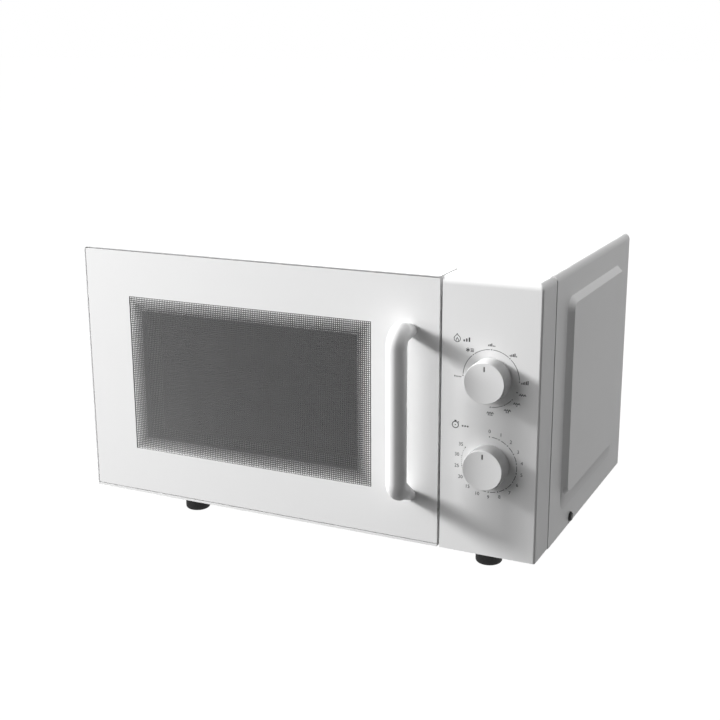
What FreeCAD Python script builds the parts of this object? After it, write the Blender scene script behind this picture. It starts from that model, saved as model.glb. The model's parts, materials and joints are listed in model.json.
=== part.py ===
import FreeCAD, Part
import math
import os

from FreeCAD import Vector

# Countertop microwave oven with a grill element and two rotary controls.
# Millimetres, +Z up, the front faces -Y, and the feet stand on Z = 0.

# ---- overall case ----
BODY_W = 440.0          # width over the flat sides
BODY_H = 233.6          # height of the case above the feet
CASE_D = 275.0          # door face to the rear edge of the cover
FOOT_H = 24.6
SHEET = 0.8             # steel sheet
CASE_EDGE_R = 5.6       # rounded long edges of the cover
COVER_DROP = 1.2        # cover reaches below the rest of the case
SLIP = 0.2              # sheet parts that slide inside one another

# ---- raised field pressed in each side ----
FIELD_RAISE = 4.9
FIELD_SLOPE = 5.0
FIELD_FOOT_SLOPE = 17.5 # the foot rises gently, then steeply
FIELD_FOOT_STEP = 13.5
FIELD_FOOT_RAISE = 1.4
FIELD_FRONT = 69.0      # from the door face
FIELD_REAR = 33.5       # from the rear edge of the cover
FIELD_FOOT = 20.0       # above the lower edge of the case
FIELD_TOP = 209.7
FIELD_CORNER_R = 12.0

# ---- door ----
DOOR_T = 34.8
DOOR_SEAM = 2.3         # between the door and the control panel
DOOR_BACK_GAP = 2.4     # between the door and the case behind it
DOOR_WALL = 3.0
DOOR_RIM = 1.0          # rim left around the front sheet, except on the right
DOOR_FOOT_RIM = 1.9     # the same rim along the lower edge
FACE_LINE = 0.9         # shadow line between the rim and the front sheet
FACE_T = 3.0
DOOR_CORNER_R = 3.4
WINDOW_W = 244.5
WINDOW_H = 146.4
WINDOW_LEFT = 47.9      # from the left edge of the door
WINDOW_FOOT = 43.8      # from the lower edge of the door
PANE_GAP = 0.15
PANE_RECESS = 0.4
CHOKE_LIP = 12.0        # how far the back cover reaches inside the window
SCREEN_DEPTH = 8.5      # door face to the perforated sheet

# ---- control panel ----
PANEL_W = 84.0
PANEL_D = DOOR_T
PANEL_WALL = 2.5
TONGUE_INSET = 6.0      # panel edge to the tongue that meets the case
TONGUE_T = 1.5
SEAM_ROOM = 7.0         # front plate cut back behind the seam of the panel
PANEL_EDGE_R = 1.8
KNOB_FROM_RIGHT = 41.4
POWER_KNOB_H = 153.5    # knob axes above the lower edge of the case
TIMER_KNOB_H = 80.5
KNOB_R = 17.5
KNOB_FACE_R = 17.0
KNOB_EDGE_R = 0.6
KNOB_T = 16.0
KNOB_GAP = 0.6
SHAFT_R = 3.0
RUN_FIT = 0.05          # radial play of a running fit
SHAFT_GRIP = 10.0       # shaft inside the knob
KNOB_SKIN = 2.4
MARK_W = 1.2            # groove of the pointer in the knob face
MARK_DEEP = 0.4
MARK_FROM = 9.6
MARK_TO = 13.8
BUSH_R = 5.0

# ---- handle ----
BAR_R = 8.7
BAR_REACH = 28.8        # bar axis in front of the door
HANDLE_FROM_EDGE = 25.1
HANDLE_FOOT = 45.3      # ends of the bar above the lower edge of the door
HANDLE_TOP = 197.4
HANDLE_BEND_R = 10.0
UPPER_LEG_FALL = 2.0    # legs slope down towards the door
LOWER_LEG_FALL = 10.9
LEG_END_R = 5.3
SCREW_R = 1.9

# ---- door hinge ----
HINGE_X = 8.0           # from the left edge of the door
HINGE_Y = 24.5          # from the door face
HINGE_PIN_R = 3.0
HINGE_ARM_T = 2.0
HINGE_ARM_R = 6.0
HINGE_BOSS = 12.0       # from the end of the door to the arm
HINGE_STRIP = 18.0      # solid strip at the hinge side
HINGE_CHAMFER = 4.0

# ---- latch ----
LATCH_TRAVEL = 4.0
LATCH_FROM_EDGE = 9.7   # hook centre from the right edge of the door
LATCH_T = 4.0
HOOK_REACH = 14.0       # past the front plate
HOOK_HALF_H = 5.0
HOOK_BEAK = 4.0
HOOK_HEIGHTS = (52.0, 182.0)
GAP = 0.4               # clear of a moving neighbour
SWING_PLAY = 1.8        # sideways drift of a hook as the door swings out

# ---- cavity and turntable ----
CAVITY_LEFT = 17.5      # cavity to the left side of the case
BAY_W = 116.5           # cavity to the right side of the case
CAVITY_UNDER = 12.0
CAVITY_OVER = 15.6
REAR_BULGE = 19.0
BULGE_GAP = 1.4         # cavity rear wall to the bulge
CAVITY_CORNER_R = 8.0
LINER_FLANGE = 3.4      # turned out around the mouth of the cavity
COVER_LIP = 10.0        # turned in at the back of the cover
BULGE_SIDE = 6.0        # bulge past the cavity, sideways
BULGE_UP = 5.0          # bulge past the cavity, above and below
BULGE_R = 10.0
TRAY_CLEAR = 4.5
TRAY_T = 4.0
TRAY_RIM_H = 12.0
WHEEL_R = 7.5
WHEEL_W = 8.0
AXLE_R = 2.0
TRACK_INSET = 30.5      # tray edge to the wheels
FIT_GAP = 0.3
GRILL_R = 3.3
GRILL_DROP = 12.0
GRILL_PITCH = 48.0
WAVE_PORT_W = 84.0
WAVE_PORT_H = 34.0
WAVE_PORT_DROP = 14.0   # below the ceiling of the cavity
PIERCE_R = 2.0

FOOT_R = 11.7
FOOT_FROM_LEFT = 85.6
FOOT_FROM_RIGHT = 54.3
FOOT_FROM_LIP = 4.2      # foot axis to the front lip of the base plate
STEM_R = 3.5
FOOT_FROM_REAR = 35.0
SPACER_L = 3.0

# ---- machine bay ----
DUCT_SKIN = 1.2
DUCT_L = 92.0
ANTENNA_REACH = 58.0    # bay wall to the antenna
YOKE_W = 82.0
YOKE_D = 60.0
YOKE_H = 68.0
YOKE_SKIN = 1.6
ANODE_R = 18.0
AERIAL_R = 7.5
AERIAL_L = 26.0
FILTER_BOX_H = 22.0
CORE_W = 88.0
CORE_D = 72.0
CORE_H = 72.0
CORE_FRONT = 60.0       # front of the case to the transformer
COIL_BULGE = 8.0        # windings past the core
COIL_H = 21.0
CAPACITOR_D = 34.0
CAPACITOR_H = 50.0
FAN_OPEN_R = 47.0
FAN_HEIGHT = 124.0
FAN_BACK = 32.0         # fan sleeve to the rear edge of the cover
FAN_MOTOR_L = 24.0
FAN_TURN = 38.0         # pitch of the blades in degrees
SELECTOR_HALF = 20.0
SELECTOR_D = 24.0
TIMER_HALF = 22.0
TIMER_D = 26.0
HAMMER_ASIDE = 17.0     # hammer pivot from the timer axis, sideways and down
HAMMER_BELOW = 14.0

# ---- places worked out from the sizes ----
X_L = -BODY_W / 2
X_R = BODY_W / 2
Z_B = FOOT_H
Z_T = FOOT_H + BODY_H
OVERALL_D = BAR_REACH + BAR_R + CASE_D + REAR_BULGE + SPACER_L
Y_F = BAR_REACH + BAR_R - OVERALL_D / 2
Y_C = Y_F + DOOR_T + DOOR_BACK_GAP
Y_R = Y_F + CASE_D
DOOR_R = X_R - PANEL_W - DOOR_SEAM
PANEL_L = X_R - PANEL_W
CAV_X = (X_L + CAVITY_LEFT, X_R - BAY_W)
CAV_Y = (Y_C + SHEET, Y_R + REAR_BULGE - 2 * SHEET - BULGE_GAP)
CAV_Z = (Z_B + CAVITY_UNDER, Z_T - CAVITY_OVER)
TRAY_R = min(CAV_X[1] - CAV_X[0], CAV_Y[1] - CAV_Y[0]) / 2 - TRAY_CLEAR
TRAY_X = sum(CAV_X) / 2
TRAY_Y = CAV_Y[0] + TRAY_CLEAR + TRAY_R
TRACK_R = TRAY_R - TRACK_INSET
TRAY_Z = CAV_Z[0] + 2 * (FIT_GAP + WHEEL_R)
WIN_X = (X_L + WINDOW_LEFT, X_L + WINDOW_LEFT + WINDOW_W)
WIN_Z = (Z_B + WINDOW_FOOT, Z_B + WINDOW_FOOT + WINDOW_H)
KNOB_X = X_R - KNOB_FROM_RIGHT
BAY_L = CAV_X[1] + SHEET
BAY_X = (BAY_L + X_R - SHEET) / 2
PIN = (X_L + HINGE_X, Y_F + HINGE_Y)
LATCH_X = DOOR_R - LATCH_FROM_EDGE
HOOK_END = Y_C + HOOK_REACH
FAN_FRONT = Y_R - FAN_BACK - FAN_MOTOR_L
MAGNETRON_Y = (HOOK_END + FAN_FRONT + 20.0) / 2

AXIS_X = Vector(1, 0, 0)
AXIS_Y = Vector(0, 1, 0)
AXIS_Z = Vector(0, 0, 1)


# ---- helpers ----
def block(x, y, z):
    """Box between pairs of low and high values."""
    return Part.makeBox(x[1] - x[0], y[1] - y[0], z[1] - z[0], Vector(x[0], y[0], z[0]))


def rod(x, y, z, axis, radius, length):
    return Part.makeCylinder(radius, length, Vector(x, y, z), axis)


def around(centre, half):
    return (centre - half, centre + half)


def grown(pair, by):
    return (pair[0] - by, pair[1] + by)


def joined(*shapes):
    return shapes[0].fuse(list(shapes[1:])).removeSplitter()


def without(shape, *tools):
    return shape.cut(list(tools)).removeSplitter()


def straight_edges(shape, axis, keep):
    """Straight edges along an axis whose middle passes the test."""
    found = []
    for edge in shape.Edges:
        if edge.Degenerated or edge.Curve.TypeId != "Part::GeomLine":
            continue
        span = edge.Vertexes[-1].Point - edge.Vertexes[0].Point
        if abs(abs(span.dot(axis)) - span.Length) < 1e-6 and keep(edge.CenterOfMass):
            found.append(edge)
    return found


def rounded(shape, radius, axis, keep=lambda p: True):
    return shape.makeFillet(radius, straight_edges(shape, axis, keep))


def frame_ring(x, y, z, inner_x, inner_z):
    """Rectangular frame seen from the front."""
    return without(block(x, y, z), block(inner_x, grown(y, 1.0), inner_z))


def rounded_outline(x, y, z, r):
    """Closed outline with round corners in a plane of constant X."""
    corners = ((y[0], z[0]), (y[1], z[0]), (y[1], z[1]), (y[0], z[1]))
    ahead = ((1, 0), (0, 1), (-1, 0), (0, -1))
    edges = []
    starts = []
    ends = []
    for i, (cy, cz) in enumerate(corners):
        before = ahead[i - 1]
        after = ahead[i]
        start = Vector(x, cy - before[0] * r, cz - before[1] * r)
        end = Vector(x, cy + after[0] * r, cz + after[1] * r)
        centre = Vector(x, cy + (after[0] - before[0]) * r, cz + (after[1] - before[1]) * r)
        middle = centre + (Vector(x, cy, cz) - centre).normalize() * r
        edges.append(Part.Arc(start, middle, end).toShape())
        starts.append(start)
        ends.append(end)
    sides = [Part.makeLine(ends[i], starts[(i + 1) % 4]) for i in range(4)]
    return Part.Wire([e for pair in zip(edges, sides) for e in pair])


def turned(points, x, y, z, axis=AXIS_Z):
    """Solid of revolution from (radius, height) points, placed with its axis along the given one."""
    outline = [Vector(r, 0, h) for r, h in points]
    face = Part.Face(Part.makePolygon(outline + [outline[0]]))
    solid = face.revolve(Vector(0, 0, 0), AXIS_Z, 360)
    solid.Placement = FreeCAD.Placement(Vector(x, y, z), FreeCAD.Rotation(AXIS_Z, axis))
    return solid


def slots(xs, y, zs, half_w, half_h):
    """Row and column pattern of slots cut along Y."""
    return [block(around(cx, half_w), y, around(cz, half_h)) for cx in xs for cz in zs]


def spread(low, high, count):
    return [low + (high - low) * i / (count - 1) for i in range(count)]


def save(name, *solids):
    shape = solids[0] if len(solids) == 1 else Part.makeCompound(list(solids))
    if not shape.isValid():
        raise ValueError(name + " is not a valid solid")
    shape.exportStep("parts/" + name + ".step")


# ---- case ----
def side_field(side, skin):
    """Raised field pressed outwards in a side; skin 0 is the outer face, SHEET the inner one."""
    root = side * (X_R - skin)
    y = grown((Y_F + FIELD_FRONT, Y_R - FIELD_REAR), -skin / 2)
    z = grown((Z_B + FIELD_FOOT, Z_B + FIELD_TOP), -skin / 2)
    outlines = []
    for raised, foot in ((0.0, 0.0), (FIELD_FOOT_RAISE, FIELD_FOOT_STEP), (FIELD_RAISE, FIELD_FOOT_SLOPE)):
        inset = FIELD_SLOPE * raised / FIELD_RAISE
        span_z = (z[0] + foot, z[1] - inset)
        x = root + side * raised
        outlines.append(rounded_outline(x, grown(y, -inset), span_z, FIELD_CORNER_R - inset))
    return Part.makeLoft(outlines, True, True)


def side_screw_places():
    return [(side, Y_F + 101.7, Z_B + 4.9) for side in (-1, 1)]


def rear_screw_places():
    top = [(x, Z_T - 6.0) for x in (X_L + 30.0, 0.0, X_R - 30.0)]
    sides = [(x, Z_B + 60.0) for x in (X_L + 6.0, X_R - 6.0)]
    return top + sides


def make_outer_cover():
    inner_x = (X_L + SHEET, X_R - SHEET)
    foot = Z_B - COVER_DROP
    body = block((X_L, X_R), (Y_C, Y_R), (foot, Z_T))
    body = rounded(body, CASE_EDGE_R, AXIS_Y, lambda p: p.z > Z_T - 1)
    room = block(inner_x, (Y_C - 1, Y_R - SHEET), (foot - 1, Z_T - SHEET))
    room = rounded(room, CASE_EDGE_R - SHEET, AXIS_Y, lambda p: p.z > Z_T - SHEET - 1)
    back_y = (Y_R - SHEET - 1, Y_R + 1)
    back = block(grown((X_L, X_R), -COVER_LIP), back_y, (foot - 1, Z_T - COVER_LIP))
    shell = without(body, room, back)
    shell = joined(shell, side_field(-1, 0.0), side_field(1, 0.0))
    shell = without(shell, side_field(-1, SHEET), side_field(1, SHEET))
    holes = [rod(s * (X_R - 3), y, z, AXIS_X * s, SCREW_R, 6) for s, y, z in side_screw_places()]
    holes += [rod(x, Y_R - 3, z, AXIS_Y, SCREW_R, 6) for x, z in rear_screw_places()]
    save("outer_cover", without(shell, *holes))


def pan_head(x, y, z, axis, head_r, head_t, shank):
    """Screw whose head sits on a face; the axis points out of the head."""
    outline = [(0, 0), (head_r, 0), (head_r, head_t * 0.5), (head_r * 0.7, head_t), (0, head_t)]
    return joined(turned(outline, x, y, z, axis), rod(x, y, z, axis * -1, SCREW_R, shank))


def make_case_screws():
    side = [pan_head(s * X_R, y, z, AXIS_X * s, 4.4, 2.4, 7.0) for s, y, z in side_screw_places()]
    rear = [pan_head(x, Y_R, z, AXIS_Y, 4.0, 2.2, 6.0) for x, z in rear_screw_places()]
    save("side_screws", *side)
    save("rear_screws", *rear)


def make_front_plate():
    x = (X_L + SHEET + SLIP, X_R - SHEET - SLIP)
    z = (Z_B + SLIP, Z_T - SHEET - SLIP)
    y = (Y_C, Y_C + SHEET)
    plate = rounded(block(x, y, z), CASE_EDGE_R, AXIS_Y, lambda p: p.z > Z_T - 2)
    mouth = block(CAV_X, grown(y, 1), CAV_Z)
    cut_y = grown(y, 1)
    bay = block((PANEL_L + 10, X_R - SEAM_ROOM - 5), cut_y, (Z_B + 12, Z_T - SEAM_ROOM - 5))
    seam_side = block((X_R - SEAM_ROOM, X_R), cut_y, (Z_B + 8, Z_T - 8))
    seam_top = block((PANEL_L + 8, X_R - 8), cut_y, (Z_T - SEAM_ROOM, Z_T))
    hooks = []
    for height in HOOK_HEIGHTS:
        slot_x = (LATCH_X - LATCH_T / 2 - SWING_PLAY / 2, LATCH_X + LATCH_T / 2 + SWING_PLAY)
        low = Z_B + height - HOOK_HALF_H - HOOK_BEAK - GAP
        high = Z_B + height + HOOK_HALF_H + LATCH_TRAVEL + GAP
        hooks.append(block(slot_x, cut_y, (low, high)))
    arms = [block(around(PIN[0], HINGE_ARM_R), cut_y, span) for span in hinge_arm_spans()]
    save("front_plate", without(plate, mouth, bay, seam_side, seam_top, *hooks, *arms))


def motor_dish(radius, depth):
    return rod(TRAY_X, TRAY_Y, Z_B - depth, AXIS_Z, radius, depth + SHEET)


def foot_places():
    xs = (X_L + FOOT_FROM_LEFT, X_R - FOOT_FROM_RIGHT)
    return [(x, y) for x in xs for y in (Y_C + 2 * SHEET + FOOT_FROM_LIP, Y_R - FOOT_FROM_REAR)]


def make_base_plate():
    x = (X_L + SHEET + SLIP, X_R - SHEET - SLIP)
    y = (Y_C + SHEET, Y_R - 2 * SHEET)
    floor_z = (Z_B, Z_B + SHEET)
    front = block(x, (y[0], y[0] + SHEET), (Z_B, Z_B + 5))
    rear = block(x, (y[1] - SHEET, y[1]), (Z_B, Z_B + 5))
    left = block((x[0], x[0] + SHEET), y, (Z_B, Z_B + 11))
    right = block((x[1] - SHEET, x[1]), y, (Z_B, Z_B + 11))
    tray = joined(block(x, y, floor_z), front, rear, left, right, motor_dish(30.0, 6.0))
    dish = rod(TRAY_X, TRAY_Y, Z_B - 6.0 + SHEET, AXIS_Z, 30.0 - SHEET, 8.0)
    stems = [rod(fx, fy, Z_B - 1, AXIS_Z, STEM_R, 4) for fx, fy in foot_places()]
    screws = [rod(s * (X_R - 6), sy, sz, AXIS_X * s, SCREW_R, 8) for s, sy, sz in side_screw_places()]
    vent_ys = spread(Y_F + 120, Y_F + 165, 6)
    vents = [block(around(BAY_X, 36.0), around(vy, 1.5), grown(floor_z, 1)) for vy in vent_ys]
    save("base_plate", without(tray, dish, *stems, *screws, *vents))


def make_feet():
    feet = []
    for fx, fy in foot_places():
        pad = rod(fx, fy, 0, AXIS_Z, FOOT_R, FOOT_H)
        pad = pad.makeFillet(2.6, [e for e in pad.Edges if e.CenterOfMass.z < 0.1 and e.Closed])
        stem = rod(fx, fy, FOOT_H, AXIS_Z, STEM_R, SHEET)
        feet.append(joined(pad, stem))
    save("feet", *feet)


def gland_place():
    return (X_R - 30.0, Z_B + 30.0)


def sections_around(shape, x, z):
    """A rim cut into four flat strips and four corners, where its corners turn."""
    cuts_x = (X_L, x[0] + BULGE_R, x[1] - BULGE_R, X_R)
    cuts_z = (Z_B, z[0] + BULGE_R, z[1] - BULGE_R, Z_T)
    y = (Y_R - 3, Y_R + REAR_BULGE)
    sections = []
    for i in range(3):
        for k in range(3):
            if i != 1 or k != 1:
                sections += shape.common(block(cuts_x[i:i + 2], y, cuts_z[k:k + 2])).Solids
    return sections


def make_rear_panel():
    x = (X_L + SHEET + SLIP, X_R - SHEET - SLIP)
    y = (Y_R - 2 * SHEET, Y_R - SHEET)
    z = (Z_B, Z_T - SHEET - SLIP)
    plate = rounded(block(x, y, z), CASE_EDGE_R, AXIS_Y, lambda p: p.z > Z_T - 2)
    bulge_x = grown(CAV_X, BULGE_SIDE)
    bulge_z = grown(CAV_Z, BULGE_UP)
    wall_y = (Y_R + REAR_BULGE - SHEET, Y_R + REAR_BULGE)
    outer = rounded(block(bulge_x, (y[0], wall_y[0]), bulge_z), BULGE_R, AXIS_Y)
    inner = block(grown(bulge_x, -SHEET), (y[0] - 1, wall_y[1]), grown(bulge_z, -SHEET))
    inner = rounded(inner, BULGE_R - SHEET, AXIS_Y)
    wall = rounded(block(bulge_x, wall_y, bulge_z), BULGE_R, AXIS_Y)
    cut_y = (y[0] - 1, Y_R + 2)
    vents = slots(spread(BAY_X - 40, BAY_X + 26, 12), cut_y, (Z_B + 100, Z_B + 126, Z_B + 152), 1.6, 10.0)
    steam_y = grown(wall_y, 1)
    steam = slots(spread(TRAY_X - 120, TRAY_X - 60, 9), steam_y, (Z_B + 180,), 1.6, 12.0)
    gx, gz = gland_place()
    gland = rod(gx, cut_y[0], gz, AXIS_Y, 7.0, 10)
    screws = [rod(sx, cut_y[0], sz, AXIS_Y, SCREW_R, 8) for sx, sz in rear_screw_places()]
    plate = without(plate, outer, *vents, gland, *screws)
    sheets = sections_around(plate, bulge_x, bulge_z)
    sheets += sections_around(without(outer, inner), bulge_x, bulge_z)
    save("rear_panel", *sheets, without(wall, *steam))


def make_cord_gland():
    gx, gz = gland_place()
    flange = rod(gx, Y_R - SHEET, gz, AXIS_Y, 10.0, 3.0)
    neck = rod(gx, Y_R - 6.0, gz, AXIS_Y, 7.0, 6.0)
    nut = rod(gx, Y_R - 5.6, gz, AXIS_Y, 9.5, 5.6 - 2 * SHEET)
    bore = rod(gx, Y_R - 10, gz, AXIS_Y, 4.0, 20)
    save("cord_gland", without(joined(flange, neck, nut), bore))


def make_rear_spacers():
    posts = []
    for px in (TRAY_X - 90, TRAY_X + 90):
        post = rod(px, Y_R + REAR_BULGE, Z_B + 150, AXIS_Y, 8.0, SPACER_L)
        face = [e for e in post.Edges if e.Closed and e.CenterOfMass.y > Y_R + REAR_BULGE + 1]
        posts.append(post.makeFillet(1.5, face))
    save("rear_spacers", *posts)


# ---- cavity ----
def wave_port():
    y = around(MAGNETRON_Y, WAVE_PORT_W / 2)
    z = (CAV_Z[1] - WAVE_PORT_DROP - WAVE_PORT_H, CAV_Z[1] - WAVE_PORT_DROP)
    return y, z


def grill_runs():
    return [TRAY_Y + GRILL_PITCH * k for k in (-1.5, -0.5, 0.5, 1.5)]


def lamp_place():
    return Y_R - 42.5, Z_B + 170.5


def pierced(x, ys, zs):
    """Rows and columns of small round holes through a side wall."""
    return [rod(x, cy, cz, AXIS_X, PIERCE_R, 6) for cy in ys for cz in zs]


def make_cavity_liner():
    outer = block(grown(CAV_X, SHEET), (CAV_Y[0], CAV_Y[1] + SHEET), grown(CAV_Z, SHEET))
    inner = block(CAV_X, (CAV_Y[0] - 1, CAV_Y[1]), CAV_Z)
    outer = rounded(outer, CAVITY_CORNER_R + SHEET, AXIS_Z, lambda p: p.y > CAV_Y[1] - 1)
    inner = rounded(inner, CAVITY_CORNER_R, AXIS_Z, lambda p: p.y > CAV_Y[1] - 1)
    flange_y = (CAV_Y[0], CAV_Y[0] + SHEET)
    flange = block(grown(CAV_X, LINER_FLANGE), flange_y, grown(CAV_Z, LINER_FLANGE))
    port_y, port_z = wave_port()
    port = block((CAV_X[1] - 2, CAV_X[1] + 3), port_y, port_z)
    spindle = rod(TRAY_X, TRAY_Y, CAV_Z[0] - 3, AXIS_Z, 6.0, 6)
    grill_z = CAV_Z[1] - GRILL_DROP
    end_ys = (grill_runs()[0], grill_runs()[-1])
    ends = [rod(CAV_X[1] - 4, ry, grill_z, AXIS_X, GRILL_R, 8) for ry in end_ys]
    lamp_y, lamp_z = lamp_place()
    lamp = pierced(CAV_X[1] - 3, spread(lamp_y - 14, lamp_y + 14, 5), spread(lamp_z - 10, lamp_z + 10, 4))
    steam = pierced(CAV_X[0] - 3, spread(Y_F + 60, Y_F + 102, 7), spread(Z_B + 176, Z_B + 197, 4))
    save("cavity_liner", without(joined(outer, flange), inner, port, spindle, *ends, *lamp, *steam))


def make_waveguide():
    port_y, port_z = wave_port()
    x = (BAY_L, BAY_L + DUCT_L)
    duct = block(x, grown(port_y, DUCT_SKIN), grown(port_z, DUCT_SKIN))
    hollow = block((x[0] - 1, x[1] - DUCT_SKIN), port_y, port_z)
    seat = rod(antenna_x(), sum(port_y) / 2, port_z[0] - 3, AXIS_Z, 10.0, 6)
    save("waveguide", without(duct, hollow, seat))
    cover = block((CAV_X[1] - 0.6, CAV_X[1]), grown(port_y, 6.0), grown(port_z, 6.0))
    save("waveguide_cover", cover)


def antenna_x():
    return BAY_L + ANTENNA_REACH


def make_grill_element():
    runs = grill_runs()
    z = CAV_Z[1] - GRILL_DROP
    bend = GRILL_PITCH / 2
    left = CAV_X[0] + 30 + bend
    right = CAV_X[1] - 30 - bend
    end = BAY_L + 10
    path = [Part.makeLine(Vector(end, runs[0], z), Vector(left, runs[0], z))]
    for i in range(3):
        side = left if i % 2 == 0 else right
        tip = side - bend if i % 2 == 0 else side + bend
        middle = Vector(tip, (runs[i] + runs[i + 1]) / 2, z)
        path.append(Part.Arc(Vector(side, runs[i], z), middle, Vector(side, runs[i + 1], z)).toShape())
        far = end if i == 2 else (right if i % 2 == 0 else left)
        path.append(Part.makeLine(Vector(side, runs[i + 1], z), Vector(far, runs[i + 1], z)))
    section = Part.Wire(Part.makeCircle(GRILL_R, Vector(end, runs[0], z), AXIS_X))
    tube = Part.Wire(path).makePipeShell([section], True, True)
    save("grill_element", tube)


# ---- turntable ----
def make_turntable_motor():
    z = (Z_B - 4.5, CAV_Z[0] - SHEET)
    body = rod(TRAY_X, TRAY_Y, z[0], AXIS_Z, 24.5, z[1] - z[0])
    bore = rod(TRAY_X, TRAY_Y, z[1] - 8, AXIS_Z, 3.5 + RUN_FIT, 9)
    save("turntable_motor", without(body, bore))


def make_coupler():
    shaft = rod(TRAY_X, TRAY_Y, CAV_Z[0] - SHEET - 7, AXIS_Z, 3.5, 12)
    hub = rod(TRAY_X, TRAY_Y, CAV_Z[0] + 1.2, AXIS_Z, 11.0, TRAY_Z - CAV_Z[0] - 1.2 - 0.6)
    arms = []
    for k in range(3):
        arm = block((TRAY_X, TRAY_X + 20), around(TRAY_Y, 4.0), (TRAY_Z - 6.0, TRAY_Z - 0.6))
        arm.rotate(Vector(TRAY_X, TRAY_Y, 0), AXIS_Z, 120 * k)
        arms.append(arm)
    save("turntable_coupler", joined(hub, shaft, *arms))


def make_roller_ring():
    axle_z = CAV_Z[0] + FIT_GAP + WHEEL_R
    inner = TRACK_R - WHEEL_W / 2 - GAP - 8
    ring = turned([(inner, -2), (inner + 8, -2), (inner + 8, 2), (inner, 2)], TRAY_X, TRAY_Y, axle_z)
    parts = [ring]
    for k in range(3):
        angle = math.radians(90 + 120 * k)
        out = Vector(math.cos(angle), math.sin(angle), 0)
        foot = Vector(TRAY_X, TRAY_Y, axle_z) + out * (inner + 4)
        parts.append(Part.makeCylinder(AXLE_R, TRACK_R + WHEEL_W / 2 + 2 - inner - 4, foot, out))
        wheel_at = Vector(TRAY_X, TRAY_Y, axle_z) + out * (TRACK_R - WHEEL_W / 2)
        wheel = Part.makeCylinder(WHEEL_R, WHEEL_W, wheel_at, out)
        wheel = wheel.makeFillet(1.0, [e for e in wheel.Edges if e.Closed])
        bore = Part.makeCylinder(AXLE_R + RUN_FIT, WHEEL_W + 2, wheel_at - out, out)
        save("roller_wheel_%d" % (k + 1), without(wheel, bore))
    save("roller_ring", joined(*parts))


def make_glass_tray():
    flat = TRAY_R - 15
    top = TRAY_RIM_H + TRAY_T
    outline = [(0, 0), (flat, 0), (TRAY_R - 1.5, top - 4), (TRAY_R, top - 1.5), (TRAY_R - 1.5, top),
               (TRAY_R - 4.5, top - 1), (flat - 1.5, TRAY_T), (0, TRAY_T)]
    dish = turned(outline, TRAY_X, TRAY_Y, TRAY_Z)
    lugs = []
    for k in range(3):
        lug = block((TRAY_X + 12.5, TRAY_X + 18), around(TRAY_Y, 4.0), (TRAY_Z - 4.5, TRAY_Z + 1))
        lug.rotate(Vector(TRAY_X, TRAY_Y, 0), AXIS_Z, 60 + 120 * k)
        lugs.append(lug)
    save("glass_tray", joined(dish, *lugs))


# ---- door ----
def hinge_arm_spans():
    low = Z_B + HINGE_BOSS
    high = Z_T - HINGE_BOSS
    return ((low, low + HINGE_ARM_T), (high - HINGE_ARM_T, high))


def hook_blocks(x, y, slack, travel):
    """Room that each hook needs where it passes through a wall."""
    found = []
    for height in HOOK_HEIGHTS:
        low = Z_B + height - HOOK_HALF_H - HOOK_BEAK - slack
        found.append(block(x, y, (low, Z_B + height + HOOK_HALF_H + travel + slack)))
    return found


def handle_screw_places():
    x = DOOR_R - HANDLE_FROM_EDGE
    low = Z_B + HANDLE_FOOT + BAR_R - LOWER_LEG_FALL
    high = Z_B + HANDLE_TOP - BAR_R - UPPER_LEG_FALL
    return [(x, low), (x, high)]


def make_door_frame():
    x = (X_L, DOOR_R)
    y = (Y_F, Y_F + DOOR_T)
    z = (Z_B, Z_T)
    body = rounded(block(x, y, z), DOOR_CORNER_R, AXIS_Y, lambda p: p.z > Z_T - 1 and p.x < 0)
    past = HINGE_CHAMFER + 1
    corner = Vector(x[0] - 1, y[1] + 1, z[0] - 1)
    outline = [corner, corner - AXIS_Y * (past + 1), corner + AXIS_X * (past + 1), corner]
    wedge = Part.Face(Part.makePolygon(outline)).extrude(AXIS_Z * (BODY_H + 2))
    face_z = (z[0] + DOOR_FOOT_RIM, z[1] - DOOR_RIM)
    face = block((x[0] + DOOR_RIM, x[1] + 1), (y[0] - 1, y[0] + FACE_T), face_z)
    face = rounded(face, DOOR_CORNER_R - DOOR_RIM, AXIS_Y, lambda p: p.z > Z_T - 4 and p.x < 0)
    hollow_x = (x[0] + HINGE_STRIP, x[1] - DOOR_WALL)
    hollow = block(hollow_x, (y[0] + FACE_T + DOOR_WALL, y[1] + 1), grown(z, -DOOR_WALL))
    window = block(grown(WIN_X, 2.0), (y[0] - 1, y[1]), grown(WIN_Z, 2.0))
    cuts = [wedge, face, hollow, window]
    arm_x = (x[0] - 1, hollow_x[0] + 1)
    arm_y = (PIN[1] - HINGE_ARM_R - 2.5, y[1] + 1)
    cuts += [block(arm_x, arm_y, grown(span, GAP)) for span in hinge_arm_spans()]
    pin_r = HINGE_PIN_R + RUN_FIT
    cuts.append(rod(PIN[0], PIN[1], Z_B + 2.5, AXIS_Z, pin_r, HINGE_BOSS))
    cuts.append(rod(PIN[0], PIN[1], Z_T - 2.5 - HINGE_BOSS, AXIS_Z, pin_r, HINGE_BOSS))
    cuts += [rod(sx, Y_F, sz, AXIS_Y, SCREW_R, 10) for sx, sz in handle_screw_places()]
    ribs = []
    for rz in (Z_B + 85, Z_B + 150):
        ribs.append(block(around(LATCH_X, 3.0), (y[0] + FACE_T, y[0] + 12.0 - GAP), around(rz, 8.0)))
    save("door_frame", joined(without(body, *cuts), *ribs))


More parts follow.
